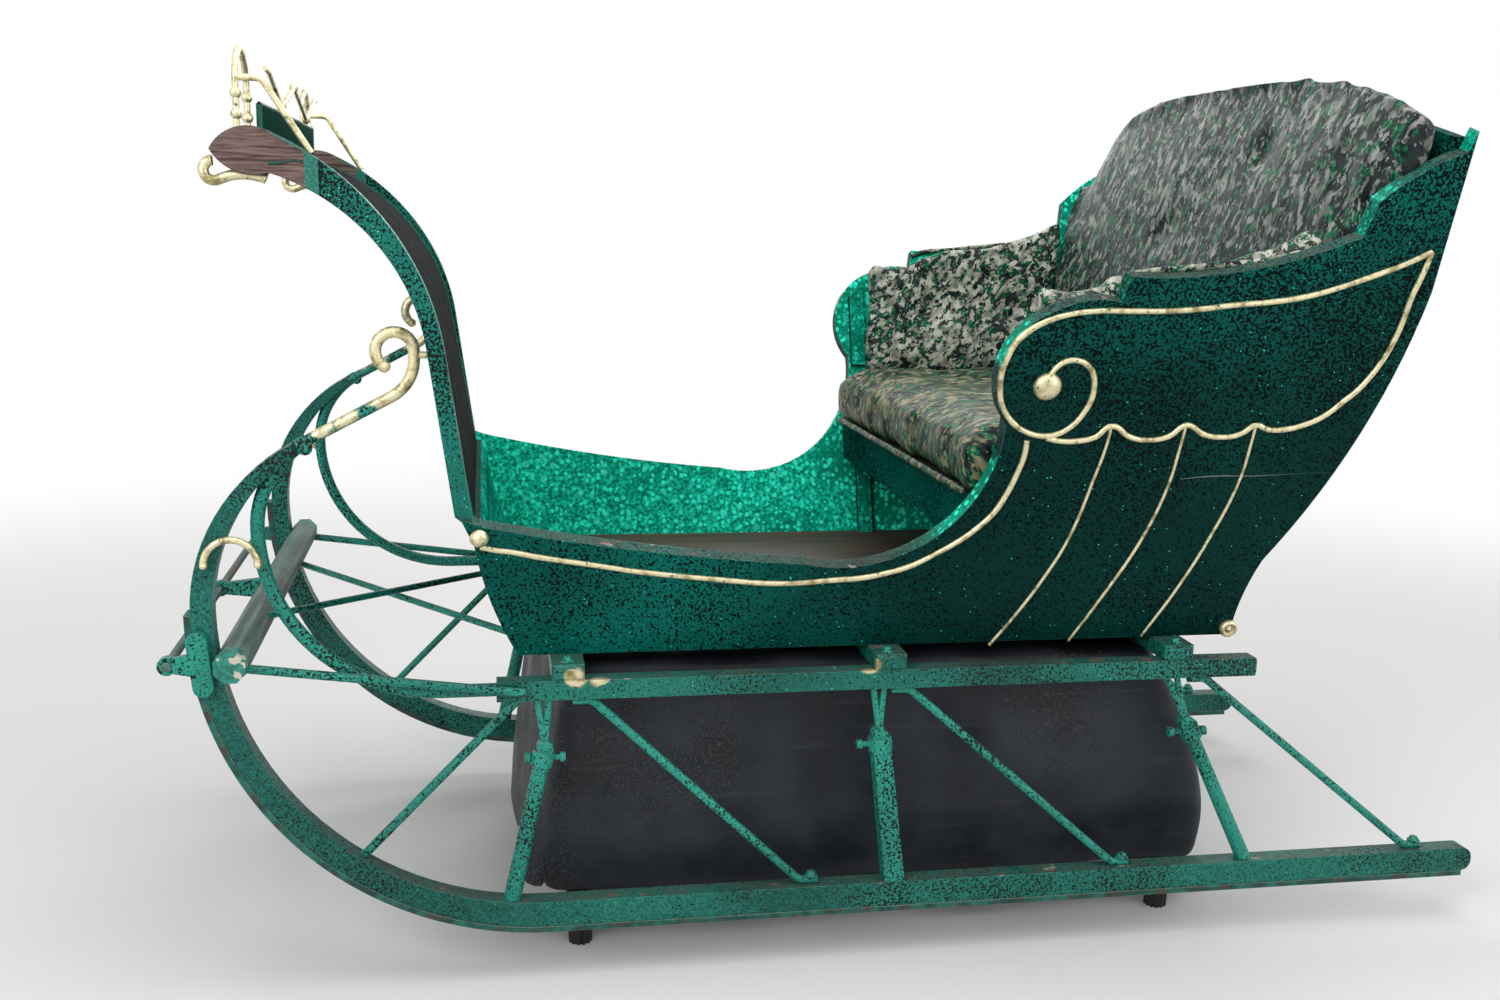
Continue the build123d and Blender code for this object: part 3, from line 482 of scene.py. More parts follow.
def marbled_cloth(name, spread, dark_share, green_share, warm, light):
    """Silver cloth with drawn-out flecks of slate and green, scaled along y, upwards and across; its silver
    is brightened as painted light.
    """
    tree = Tree(name)
    flat = {
        "X": tree.both(tree.y, spread[0]),
        "Y": tree.both(tree.plus(tree.x, tree.z), spread[1]),
        "Z": tree.both(tree.math("SUBTRACT", tree.x, tree.z), spread[2]),
    }
    plan = tree.add("ShaderNodeCombineXYZ", flat).outputs[0]
    wobble = tree.add("ShaderNodeTexNoise", {"Vector": plan, "Scale": 13.0, "Detail": 3.0})
    shift = tree.add("ShaderNodeVectorMath", {0: wobble.outputs["Color"], "Scale": 0.028}, operation="SCALE")
    flow = tree.vector_math("ADD", plan, shift.outputs[0], output=0)
    blots = tree.plus(tree.noise(56, vector=flow), tree.noise(9, detail=2, vector=plan), share=0.3)
    blots = tree.plus(blots, dark_share)
    flecks = tree.noise(160, detail=2, vector=flow)
    dark = tree.without(tree.step(blots, low=0.63, high=0.68), tree.step(flecks, low=0.61, high=0.65))
    dark = tree.either(dark, tree.patches(scale=95, detail=2, vector=flow, low=0.59, high=0.62))
    slate_patches = tree.patches(scale=40, detail=2, vector=flow, low=0.3, high=0.7)
    slate = tree.mix(slate_patches, SLATE_DARK, SLATE)
    green = tree.mix(tree.step(flecks, low=0.4, high=0.6), CLOTH_GREEN_DARK, CLOTH_GREEN)
    greener = tree.plus(tree.noise(58, detail=2, vector=plan), green_share)
    fleck_colour = tree.mix(tree.step(greener, low=0.56, high=0.60), slate, green)
    silver_dark = warmed(SILVER_DARK, (0.01, 0, -0.04), warm, light)
    silver_light = warmed(SILVER, (0.01, -0.02, -0.11), warm, light)
    silver_patches = tree.patches(scale=48, detail=4, vector=flow, low=0.35, high=0.65)
    silver = tree.mix(silver_patches, silver_dark, silver_light)
    colour = tree.mix(dark, silver, fleck_colour)
    creases = tree.noise(16, detail=4, vector=tree.stretched(1.0, 2.6, 0.8))
    height = tree.plus(creases, tree.noise(900, detail=1, vector=plan), share=0.06)
    roughness = tree.plus(0.30, tree.noise(24), share=0.24)
    return tree.done(colour, roughness, tree.bump(height, strength=0.5, distance=0.006), gloss=0.07)


def bench_leather(name):
    """Blue-black leather with a soft sheen, scuffed and pitted in patches and at its front end."""
    tree = Tree(name)
    grain = tree.cells(260, feature="DISTANCE_TO_EDGE").outputs["Distance"]
    blotch = tree.patches(scale=9, detail=5, low=0.3, high=0.7)
    colour = tree.mix(blotch, LEATHER_DARK, LEATHER)
    scuffed = tree.inverse(tree.step(tree.x, low=-0.47, high=-0.36))
    for place, radius in both_sides(BENCH_SCUFFS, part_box("plinth_bench")[0].y):
        scuffed = tree.either(scuffed, tree.spot(place, radius))
    pits = tree.both(scuffed, tree.patches(scale=300, low=0.5, high=0.66))
    colour = tree.mix(pits, colour, LEATHER_PIT)
    streaks = tree.patches(scale=1.0, detail=4, vector=tree.stretched(5, 5, 60), low=0.6, high=0.78)
    colour = tree.mix(streaks, colour, LEATHER_STREAK, share=0.35)
    roughness = tree.plus(tree.both(blotch, 0.18), tree.plus(0.36, pits, share=0.3))
    dents = tree.plus(tree.both(tree.noise(18, detail=4), 2.4), grain, share=0.35)
    height = tree.plus(dents, pits, share=0.5)
    return tree.done(colour, roughness, tree.bump(height, strength=0.6, distance=0.0022), gloss=0.22)


def dash_leather(name):
    """Dusty dark leather on the dash, glittering green along its two edges."""
    tree = Tree(name)
    strip_width = 0.035
    colour = tree.mix(tree.patches(scale=26, detail=5, low=0.35, high=0.7), DASH_DARK, DASH_GREY)
    glitter = tree.mix(tree.discs(150, rim=(0.2, 0.36), lit=(0.4, 0.85)), DASH_GREEN, SPARKLE)
    strip_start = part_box("dash_panel")[1].y - strip_width
    colour = tree.mix(tree.step(tree.size_of(tree.y), strip_start, strip_start + 0.004), colour, glitter)
    edge, rounded = tree.edges(0.002)
    colour = tree.mix(edge, colour, DUST, share=0.3)
    normal = tree.bump(tree.noise(120, detail=4), strength=0.5, distance=0.001, normal=rounded)
    return tree.done(colour, roughness=0.85, normal=normal, gloss=0.02)


def wire_green(name):
    tree = Tree(name)
    colour = tree.mix(tree.noise(150, detail=2), WIRE_DARK, WIRE_GREEN)
    return tree.done(colour, roughness=0.45, metallic=0.5)


# glitter is the share of the bright inside colour on faces tilted upwards: partly glitter, partly painted
# light
panel_paint = green_paint(
    "panel_paint", TEAL, TEAL_MID, TEAL_LIGHT, dots=0.59,
    low_shade=0.85, gloss=0.04, cluster=0.07, glitter=1.0,
)
board_paint = green_paint("board_paint", TEAL, TEAL_MID, IRON_GREEN, dots=0.64, gloss=0.0, glitter=0.6)
runner_paint = green_paint(
    "runner_paint", TEAL, IRON_GREEN, IRON_GREEN_LIGHT, dots=0.66,
    gilt_spots=both_sides(RUNNER_GILT, runner_face_y), cluster=0.18,
)
rail_paint = green_paint(
    "rail_paint", TEAL, IRON_GREEN, IRON_GREEN_LIGHT, dots=0.62,
    gilt_spots=both_sides(RAIL_GILT, rail_face_y),
)
iron_paint = green_paint("iron_paint", IRON_GREEN, IRON_GREEN_LIGHT, IRON_BRIGHT, dots=0.64, top_dust=0.35)
fender_paint = green_paint(
    "fender_paint", IRON_GREEN, IRON_GREEN_LIGHT, IRON_BRIGHT, dots=0.64,
    gilt_spots=both_sides(FENDER_GILT, runner_face_y), top_dust=0.3,
)
dash_paint = green_paint(
    "dash_paint", TEAL_MID, IRON_GREEN, IRON_GREEN_LIGHT, dots=0.65, bare=True, gloss=0.15, glitter=0.3
)
gilt = gilt_paint("gilt")
shoe_iron = worn_iron("shoe_iron", (0.004, 0.045, 0.036), (0.012, 0.13, 0.10), rust=(0.06, 0.04, 0.03))
rusty_iron = worn_iron("rusty_iron", (0.02, 0.10, 0.08), (0.10, 0.17, 0.14), rust=(0.14, 0.07, 0.045))
painted_end = 0.018
dusty_wood = boards(
    "dusty_wood", (0.03, 0.06, 0.05), (0.13, 0.22, 0.19), grain_axis=1, scratches=0.5,
    painted_from=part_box("draft_bar")[1].y - painted_end,
)
plain_wood = boards("plain_wood", (0.012, 0.007, 0.004), (0.06, 0.032, 0.018), grain_axis=0)
dark_wood = boards("dark_wood", (0.006, 0.005, 0.004), (0.04, 0.032, 0.026), grain_axis=2, scratches=0.4)
crack = boards("board_crack", (0.004, 0.02, 0.018), (0.16, 0.2, 0.185), grain_axis=0, scratches=0.6)
splinter = boards("splinter", (0.001, 0.008, 0.007), (0.004, 0.06, 0.045), grain_axis=0)
# The same cloth three times, brightened by different amounts as painted light and shade: the arm pads' copy
# is painted brightest
back_cloth = marbled_cloth(
    "back_cloth", spread=(1.3, 0.62, 0.35), dark_share=0.05, green_share=0.02, warm=0.0, light=1.15
)
seat_cloth = marbled_cloth(
    "seat_cloth", spread=(1.2, 0.7, 0.4), dark_share=0.03, green_share=0.06, warm=0.9, light=1.05
)
pad_cloth = marbled_cloth(
    "pad_cloth", spread=(1.0, 0.75, 1.1), dark_share=0.01, green_share=0.05, warm=0.25, light=1.9
)
leather = bench_leather("bench_leather")
dash_cover = dash_leather("dash_leather")
mesh_green = wire_green("mesh_green")

NODE_MATERIALS = [
    (panel_paint, ("side_panel",)),
    (board_paint, ("toe_board", "back_panel", "seat_apron", "seat_posts")),
    (plain_wood, ("seat_deck", "floor")),
    (dash_paint, ("dash_rail",)),
    (dash_cover, ("dash_panel",)),
    (runner_paint, ("runner",)),
    (shoe_iron, ("shoe",)),
    (rail_paint, ("side_rail", "bolster")),
    (iron_paint, ("struts", "braces", "draft_eye", "end_stays", "cross_stays")),
    (fender_paint, ("fender",)),
    (gilt, ("hook", "dash_horns", "rein_hoop")),
    (dusty_wood, ("draft_bar",)),
    (rusty_iron, ("shaft_rod",)),
    (mesh_green, ("rein_mesh",)),
    (seat_cloth, ("seat_cushion",)),
    (back_cloth, ("back_cushion",)),
    (pad_cloth, ("arm_pad",)),
    (leather, ("plinth_bench",)),
    (dark_wood, ("plinth_feet",)),
]
for node_name, node_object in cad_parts.items():
    for material, starts in NODE_MATERIALS:
        if node_name.startswith(starts):
            node_object.data.materials.clear()
            node_object.data.materials.append(material)


def add_piece(name, data, material):
    """A new piece that rides on the sleigh."""
    piece = bpy.data.objects.new(name, data)
    bpy.context.scene.collection.objects.link(piece)
    data.materials.clear()
    data.materials.append(material)
    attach(piece, "sleigh")
    return piece


tube_roundness = 3
tube_smoothness = 6


def tubes(name, paths, radius, material, uneven):
    """Smooth bars through points, as one piece, uneven by up to this share of their radius."""
    curve = bpy.data.curves.new(name, "CURVE")
    curve.dimensions = "3D"
    curve.bevel_depth = radius
    curve.bevel_resolution = tube_roundness
    curve.resolution_u = tube_smoothness
    curve.use_fill_caps = True
    for path in paths:
        spline = curve.splines.new("BEZIER")
        spline.bezier_points.add(len(path) - 1)
        for point, place in zip(spline.bezier_points, path):
            point.co = place
            point.handle_left_type = "AUTO"
            point.handle_right_type = "AUTO"
            point.radius = 1 + random.uniform(-uneven, uneven)
    return add_piece(name, curve, material)


def mirrored(path):
    return [MIRROR @ place for place in path]


# Gilt piping on the side panels, by pixels of the photograph
ARM_PIPING = [
    (1432, 252), (1403, 265), (1373, 276), (1338, 288), (1304, 297), (1270, 302), (1235, 305), (1200, 309),
    (1167, 311), (1132, 311), (1098, 311), (1067, 315), (1045, 322), (1029, 331), (1016, 343), (1008, 357),
    (1002, 372), (1000, 388), (1001, 402), (1006, 414), (1014, 424), (1024, 431), (1043, 436), (1057, 434),
    (1067, 429), (1077, 421), (1084, 412), (1091, 400), (1094, 388), (1094, 378), (1090, 368), (1080, 361),
    (1067, 361), (1058, 366), (1051, 374),
]
WING_PIPING = [
    (1432, 252), (1422, 275), (1411, 298), (1403, 320), (1394, 340), (1381, 362), (1366, 381), (1355, 392),
    (1342, 402), (1331, 411), (1318, 419), (1303, 425), (1287, 429), (1276, 430), (1266, 429), (1256, 425),
    (1240, 434), (1222, 437), (1203, 434), (1186, 425), (1169, 436), (1149, 440), (1130, 437), (1111, 426),
    (1095, 437), (1077, 441), (1060, 441), (1046, 438),
]
FLUTES = [
    [(1111, 426), (1108, 440), (1094, 478), (1067, 541), (1039, 584), (1015, 615), (989, 645)],
    [(1186, 425), (1180, 447), (1167, 488), (1139, 543), (1108, 588), (1068, 641)],
    [(1256, 425), (1253, 436), (1239, 481), (1208, 540), (1177, 588), (1141, 636)],
]
SILL_PIPING = [
    (1027, 440), (1024, 456), (1018, 471), (1007, 493), (994, 512), (978, 527), (960, 540), (933, 555),
    (910, 566), (886, 573), (860, 578), (833, 580), (797, 583), (761, 583), (725, 580), (690, 577),
    (660, 574), (633, 571), (600, 566), (565, 561), (538, 557), (511, 552), (494, 550), (480, 547),
]
SIDES = (("left", list), ("right", mirrored))
piping_radius = 0.0042
flute_radius = 0.0024
for side_name, turn in SIDES:
    piping = [turn([on_panel(pixel) for pixel in path]) for path in (ARM_PIPING, WING_PIPING, SILL_PIPING)]
    tubes(f"piping_{side_name}", piping, piping_radius, gilt, uneven=0.07)
    flutes = [turn([on_panel(pixel) for pixel in path]) for path in FLUTES]
    tubes(f"flutes_{side_name}", flutes, flute_radius, gilt, uneven=0.1)

# A crack where two boards of the side panel meet, and a split in the dash head, both nearly flush
BOARD_JOINT = [(1180, 479), (1215, 476), (1250, 476), (1290, 474), (1335, 472)]
HEAD_SPLIT = [(268, 163), (276, 163), (286, 162), (294, 160), (303, 163)]
crack_radius = 0.0006
split_radius = 0.0016
sink = 0.0002
for side_name, turn in SIDES:
    joint = turn([on_panel(pixel, lift=-sink) for pixel in BOARD_JOINT])
    tubes(f"board_joint_{side_name}", [joint], crack_radius, crack, uneven=0.8)
head_split = [on_plane(pixel, head_y - sink) for pixel in HEAD_SPLIT]
tubes("head_split", [head_split], split_radius, splinter, uneven=0.6)


def lathe(profile, places, name, material, steps=20):
    """Turned knobs: one profile in millimetres, at each (place, axis)."""
    made = bmesh.new()
    for place, axis in places:
        turn = Vector((0, 0, 1)).rotation_difference(Vector(axis).normalized()).to_matrix()
        rings = []
        for along, radius in profile:
            ring = []
            for index in range(steps):
                angle = 2 * math.pi * index / steps
                flat = Vector((radius * math.cos(angle), radius * math.sin(angle), along)) * MM
                ring.append(made.verts.new(Vector(place) + turn @ flat))
            rings.append(ring)
        for low, high in zip(rings, rings[1:]):
            for index in range(steps):
                after = (index + 1) % steps
                made.faces.new((low[index], low[after], high[after], high[index]))
        made.faces.new(list(reversed(rings[0])))
        made.faces.new(rings[-1])
    mesh = bpy.data.meshes.new(name)
    made.to_mesh(mesh)
    made.free()
    mesh.shade_smooth()
    return add_piece(name, mesh, material)


# Profiles of the turned pieces in millimetres: along the axis, and the radius there
BOSS = [(-2, 19), (3, 19.5), (7, 17), (10, 12), (11.5, 6), (12, 1)]
BALL = [(-2, 6), (2, 10.5), (7, 12.5), (12, 10.5), (16, 6), (17.5, 1)]
ROSETTE = [(-2, 13), (4, 14), (8, 12.5), (9, 10), (6, 7.5), (5, 4), (8, 3), (9, 0.5)]
BUTTON = [(-3, 6), (1, 9.5), (4, 9), (6, 6), (6.8, 1)]
NUT = [(-1, 9), (1.5, 9.5), (2, 6.5), (6, 6.2), (7.5, 4), (7.8, 1)]
SMALL_BALL = [(-7, 1), (-5, 4.8), (0, 7), (5, 4.8), (7, 1)]

# Knobs on the side panels, by the pixel that each one sits at
PANEL_KNOBS = [
    ("scroll_boss", BOSS, (1047, 386)),
    ("sill_ball", BALL, (479, 536)),
    ("heel_knob", ROSETTE, (1227, 627)),
]
panel_out = Vector((0, -1, -panel_flare)).normalized()
for side_name, turn in (("left", Matrix.Identity(4)), ("right", MIRROR)):
    out = turn.to_3x3() @ panel_out
    for knob_name, profile, pixel in PANEL_KNOBS:
        lathe(profile, [(turn @ on_panel(pixel), out)], f"{knob_name}_{side_name}", gilt)

# Bolts down the middle of the rails and runners, in millimetres, and one at a pixel of the runner's nose
bolt_y = -378
rail_top_up = 385
runner_top_up = 55
rail_bolts = (487, 933, 1366)
runner_bolts = (833, 1307, 1787)
nose_bolt = (305, 448)
upward = (0, 0, 1)
iron_bolts = [(at(along, bolt_y, rail_top_up), upward) for along in rail_bolts]
iron_bolts += [(at(along, bolt_y, runner_top_up), upward) for along in runner_bolts]
iron_bolts += [(on_plane(nose_bolt, runner_face_y), (0, -1, 0))]
iron_bolts += [(MIRROR @ place, (axis[0], -axis[1], axis[2])) for place, axis in iron_bolts]
lathe(NUT, iron_bolts, "iron_bolts", iron_paint, steps=12)


def remeshed(mesh, voxel):
    """A copy of a mesh with even small faces."""
    source = bpy.data.objects.new("remesh_source", mesh.copy())
    bpy.context.scene.collection.objects.link(source)
    modifier = source.modifiers.new("remesh", "REMESH")
    modifier.mode = "VOXEL"
    modifier.voxel_size = voxel
    result = bpy.data.meshes.new_from_object(source.evaluated_get(bpy.context.evaluated_depsgraph_get()))
    bpy.data.objects.remove(source)
    result.shade_smooth()
    return result


def swell(piece, cap):
    """Fills a closed mesh by cloth simulation, and caps how far each point moves."""
    scene = bpy.context.scene
    cloth = piece.modifiers.new("cloth", "CLOTH")
    cloth.settings.quality = cloth_quality
    cloth.settings.use_pressure = True
    cloth.settings.uniform_pressure_force = filling_pressure
    cloth.settings.effector_weights.gravity = 0
    cloth.point_cache.frame_start = 1
    cloth.point_cache.frame_end = filling_frames
    for step in range(1, filling_frames + 1):
        scene.frame_set(step)
    full = piece.evaluated_get(bpy.context.evaluated_depsgraph_get()).data
    moves = [after.co - before.co for before, after in zip(piece.data.vertices, full.vertices)]
    piece.modifiers.remove(cloth)
    scene.frame_set(1)
    for vertex, move in zip(piece.data.vertices, moves):
        if move.length > cap:
            move *= cap / move.length
        vertex.co += move


def keep_in(piece, node, proud, sideways):
    """Holds a soft piece to its solid: so far proud of it where it is free, and less at its sides."""
    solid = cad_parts[node].data
    corners = [vertex.co for vertex in solid.vertices]
    surface = BVHTree.FromPolygons(corners, [list(face.vertices) for face in solid.polygons])
    for vertex in piece.data.vertices:
        place, normal, face, distance = surface.find_nearest(vertex.co)
        outward = (vertex.co - place).dot(normal)
        at_side = abs(normal.y) > flat_side or normal.z < -flat_side or normal.x > rear_side
        limit = sideways if at_side else proud
        if outward > limit:
            vertex.co -= normal * (outward - limit)


def refit(piece, node, crown):
    """Stretches a relaxed piece back to its solid's box, and a little above it."""
    low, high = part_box(node)
    high = high + Vector((0, 0, crown))
    places = [vertex.co for vertex in piece.data.vertices]
    for axis in range(3):
        least = min(place[axis] for place in places)
        most = max(place[axis] for place in places)
        for place in places:
            place[axis] = low[axis] + (place[axis] - least) * (high[axis] - low[axis]) / (most - least)


def round_shoulders(piece, left_drop, right_drop):
    """Lowers the top of the back cushion towards its two ends, more where it has slumped."""
    low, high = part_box("back_cushion")
    for vertex in piece.data.vertices:
        out = min(1, abs(vertex.co.y) / high.y)
        share = max(0, (vertex.co.z - low.z) / (high.z - low.z))
        drop = left_drop if vertex.co.y < 0 else right_drop
        vertex.co.z -= min(drop * out ** shoulder_power, most_drop) * share ** 2


def push(piece, amount):
    """Moves each point along its normal, by what amount gives for its place."""
    vertices = piece.data.vertices
    normals = [vertex.normal.copy() for vertex in vertices]
    for vertex, normal in zip(vertices, normals):
        vertex.co += normal * amount(vertex.co)


def dent(piece, places, radius, depth):
    """Presses dimples into a piece."""
    for centre in places:
        push(piece, lambda place: -depth * max(0, 1 - ((place - centre).length / radius) ** 2) ** 2)


def crease(piece, path, radius, depth):
    """Presses a channel along a line of points into a piece."""

    def amount(place):
        nearest = radius
        for start, end in zip(path, path[1:]):
            span = end - start
            share = max(0, min(1, (place - start).dot(span) / span.length_squared))
            nearest = min(nearest, (place - start - span * share).length)
        return -depth * (1 - nearest / radius) ** 2

    push(piece, amount)


def rumple(piece, scale, depth, stretch=(1, 1, 1)):
    """Moves the surface in and out a little, so that it isn't a perfect form."""
    sizes = Vector(stretch) * scale
    push(piece, lambda place: depth * noise.noise(place * sizes))


def relax(mesh, rounds):
    """Rounds the edges of an even mesh."""
    made = bmesh.new()
    made.from_mesh(mesh)
    for turn in range(rounds):
        bmesh.ops.smooth_vert(
            made, verts=made.verts, factor=0.5, use_axis_x=True, use_axis_y=True, use_axis_z=True
        )
    made.to_mesh(mesh)
    made.free()
    mesh.update()


def soft(name, node, material, voxel, rounds, shrink, cap, crown, proud):
    """A stuffed piece in place of a plain solid."""
    mesh = remeshed(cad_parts[node].data, voxel)
    relax(mesh, rounds)
    piece = add_piece(name, mesh, material)
    push(piece, lambda place: -shrink)
    swell(piece, cap)
    refit(piece, node, crown)
    keep_in(piece, node, proud, sideways=0.0)
    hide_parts(node)
    return piece


def square_foot(piece, low, height, drop):
    """Draws the rounded foot of a piece down, so that it sits on what is under it."""
    for vertex in piece.data.vertices:
        share = (vertex.co.z - low) / height
        if 0 < share < 1:
            vertex.co.z = low + height * share ** 2 - drop * (1 - share)
        elif share <= 0:
            vertex.co.z -= drop


def between(value, table):
    """A value read between the rows of a table, which rises in its first column."""
    value = max(table[0][0], min(table[-1][0], value))
    for (start, first), (end, second) in zip(table, table[1:]):
        if value <= end:
            return first + (second - first) * (value - start) / (end - start)


def finish_soft(piece):
    smooth = piece.modifiers.new("smooth", "SUBSURF")
    smooth.levels = 1
    smooth.render_levels = 1


def seen_on(piece, pixels):
    """The places on a piece under pixels of the photograph."""
    bpy.context.view_layer.update()
    casts = [piece.ray_cast(camera_place, ray(pixel)) for pixel in pixels]
    return [place for hit, place, normal, face in casts if hit]


# How the stuffed pieces are filled, and how square a face is to count as a side or the rear
cloth_quality = 5
filling_pressure = 4.0
filling_frames = 20
flat_side = 0.8
rear_side = 0.6

# Seat, with folds down its front that fade out on its top
fold_reach = 0.11
fold_depth = 0.007
fold_scale = Vector((5, 24, 4))
seat_dent_back = 0.21
seat_dent_pitch = 0.19


def front_fold(place):
    ahead = max(0, 1 - (place.x - cushion_low.x) / fold_reach)
    return fold_depth * ahead * noise.noise(place * fold_scale)


seat = soft(
    "seat_upholstery", "seat_cushion", seat_cloth,
    voxel=0.010, rounds=16, shrink=0.004, cap=0.022, crown=0.010, proud=0.012,
)
rumple(seat, scale=9, depth=0.006, stretch=(1.0, 1.6, 1.0))
push(seat, front_fold)
seat_dents = []
for y in (-seat_dent_pitch, 0.0, seat_dent_pitch):
    seat_dents.append(Vector((cushion_low.x + seat_dent_back, y, cushion_high.z)))
dent(seat, seat_dents, radius=0.06, depth=0.010)
square_foot(seat, cushion_low.z, height=0.05, drop=0.0)
finish_soft(seat)

# Welt under the front edge of the seat
welt_radius = 0.0055
welt_up = 0.006
welt_in = 0.004
welt_end = 0.035
welt_steps = 16
welt_half = cushion_high.y - welt_end
welt = []
for step in range(welt_steps + 1):
    welt_y = -welt_half + step * 2 * welt_half / welt_steps
    welt.append(Vector((cushion_low.x + welt_in, welt_y, cushion_low.z + welt_up)))
tubes("seat_welt", [welt], welt_radius, seat_cloth, uneven=0.1)

# Folded edge of the back's cloth along each side panel, by pixels
SELVAGE = [(1122, 279), (1141, 273), (1180, 269), (1216, 266), (1254, 262), (1284, 258), (1300, 253)]
selvage_in = 0.026
selvage_radius = 0.0042
for side_name, turn in SIDES:
    edge_line = turn([on_panel(pixel, lift=-selvage_in) for pixel in SELVAGE])
    tubes(f"cloth_edge_{side_name}", [edge_line], selvage_radius, pad_cloth, uneven=0.4)

# Back, with dents and creases at pixels of the photograph
BACK_DENTS = [(1163, 230), (1262, 150)]
LONG_CREASE = [(1347, 150), (1340, 190), (1338, 222)]
SHORT_CREASE = [(1372, 178), (1405, 158), (1432, 150)]
shoulder_power = 8
most_drop = 0.12
back = soft(
    "back_upholstery", "back_cushion", back_cloth,
    voxel=0.012, rounds=12, shrink=0.002, cap=0.024, crown=0.012, proud=0.014,
)
round_shoulders(back, left_drop=0.05, right_drop=0.42)
rumple(back, scale=6, depth=0.006)
dent(back, seen_on(back, BACK_DENTS), radius=0.05, depth=0.012)
crease(back, seen_on(back, LONG_CREASE), radius=0.028, depth=0.014)
crease(back, seen_on(back, SHORT_CREASE), radius=0.022, depth=0.012)
relax(back.data, rounds=3)
finish_soft(back)

# Arm pads: how far they rise above their solids, from the nose, in millimetres, and their two buttons
PAD_RISE = [(1094, 12), (1186, 14), (1202, 30), (1365, 20), (1482, 46)]
pad_rise_depth = 0.09
pad_buttons_along = (0.30, 0.72)
button_sink = 0.008
for side_name, inward in (("left", 1), ("right", -1)):
    pad = soft(
        f"arm_upholstery_{side_name}", f"arm_pad_{side_name}", pad_cloth,
        voxel=0.008, rounds=7, shrink=0.003, cap=0.014, crown=0.003, proud=0.008,
    )
    rumple(pad, scale=11, depth=0.005)
    pad_low, pad_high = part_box(f"arm_pad_{side_name}")
    square_foot(pad, pad_low.z, height=0.04, drop=0.02)
    for vertex in pad.data.vertices:
        share = max(0, 1 - (pad_high.z - vertex.co.z) / pad_rise_depth)
        vertex.co.z += share * between((vertex.co.x - nose_x) / MM, PAD_RISE) * MM
    tufts = []
    for along in pad_buttons_along:
        start = Vector((pad_low.x + along * (pad_high.x - pad_low.x), 0, (pad_low.z + pad_high.z) / 2))
        bpy.context.view_layer.update()
        hit, place, normal, face = pad.ray_cast(start, Vector((0, -inward, 0)))
        if hit:
            tufts.append((place, normal))
    dent(pad, [place for place, normal in tufts], radius=0.045, depth=0.012)
    buttons = [(place - normal * button_sink, normal) for place, normal in tufts]
    lathe(BUTTON, buttons, f"pad_buttons_{side_name}", pad_cloth, steps=16)
    finish_soft(pad)

# Bench
bench_mesh = remeshed(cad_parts["plinth_bench"].data, voxel=0.012)
bench = add_piece("bench_upholstery", bench_mesh, leather)
relax(bench.data, rounds=5)
rumple(bench, scale=5, depth=0.010)
rumple(bench, scale=17, depth=0.004)
keep_in(bench, "plinth_bench", proud=0.002, sideways=0.002)
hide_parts("plinth_bench")
finish_soft(bench)

# Torn flap at the bench's front corner: up from the soles, the bench's front there and the reach, in mm
FLAP = [(168, 467, 3), (140, 464, 13), (105, 460, 22), (70, 458, 30), (40, 456, 33), (22, 456, 27)]
flap_inner_y = -306
flap_outer_y = -284
flap_tuck = 3
flap_points = [at(front + flap_tuck, flap_inner_y, up) for up, front, out in FLAP]
flap_points += [at(front - out, flap_outer_y, up) for up, front, out in FLAP]
rows = len(FLAP)
flap_faces = [(row, row + 1, row + 1 + rows, row + rows) for row in range(rows - 1)]
flap_mesh = bpy.data.meshes.new("torn_flap")
flap_mesh.from_pydata(flap_points, [], flap_faces)
flap = add_piece("torn_flap", flap_mesh, leather)
thick = flap.modifiers.new("thick", "SOLIDIFY")
thick.thickness = 0.003
finish_soft(flap)


def woven_wire(low, high, pitch, wire, border):
    """A panel of crossed wires with a thicker frame, standing across the sleigh."""
    made = bmesh.new()

    def bar(start, end, radius, offset):
        along = (end - start).normalized()
        side = along.cross(Vector((1, 0, 0))) * radius
        front = Vector((radius, 0, 0))
        shift = Vector((offset, 0, 0))
        rings = []
        for place in (start, end):
            ring = [made.verts.new(place + shift + corner) for corner in (side, front, -side, -front)]
            rings.append(ring)
        for index in range(4):
            after = (index + 1) % 4
            made.faces.new((rings[0][index], rings[0][after], rings[1][after], rings[1][index]))

    middle_x = (low.x + high.x) / 2
    width = high.y - low.y
    tall = high.z - low.z
    count = int((width + tall) / pitch)
    for lean in (1, -1):
        for index in range(count):
            run = (index + 1) * pitch
            rise_start = max(0, run - width)
            rise_end = min(run, tall)
            start_y = run - rise_start
            end_y = run - rise_end
            if lean < 0:
                start_y = width - start_y
                end_y = width - end_y
            start = Vector((middle_x, low.y + start_y, low.z + rise_start))
            end = Vector((middle_x, low.y + end_y, low.z + rise_end))
            if (end - start).length > pitch / 2:
                bar(start, end, wire / 2, lean * wire / 2)
    corners = [(low.y, low.z), (high.y, low.z), (high.y, high.z), (low.y, high.z)]
    for (y, z), (next_y, next_z) in zip(corners, corners[1:] + corners[:1]):
        bar(Vector((middle_x, y, z)), Vector((middle_x, next_y, next_z)), border, 0)
    mesh = bpy.data.meshes.new("dash_wire")
    made.to_mesh(mesh)
    made.free()
    return mesh


# Wire across the top of the dash
wire_pitch = 0.0072
wire_size = 0.0024
border_size = 1.6 * wire_size
wire_mesh = woven_wire(mesh_low, mesh_high, wire_pitch, wire_size, border_size)
wire_panel = add_piece("dash_wire", wire_mesh, mesh_green)
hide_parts("rein_mesh")

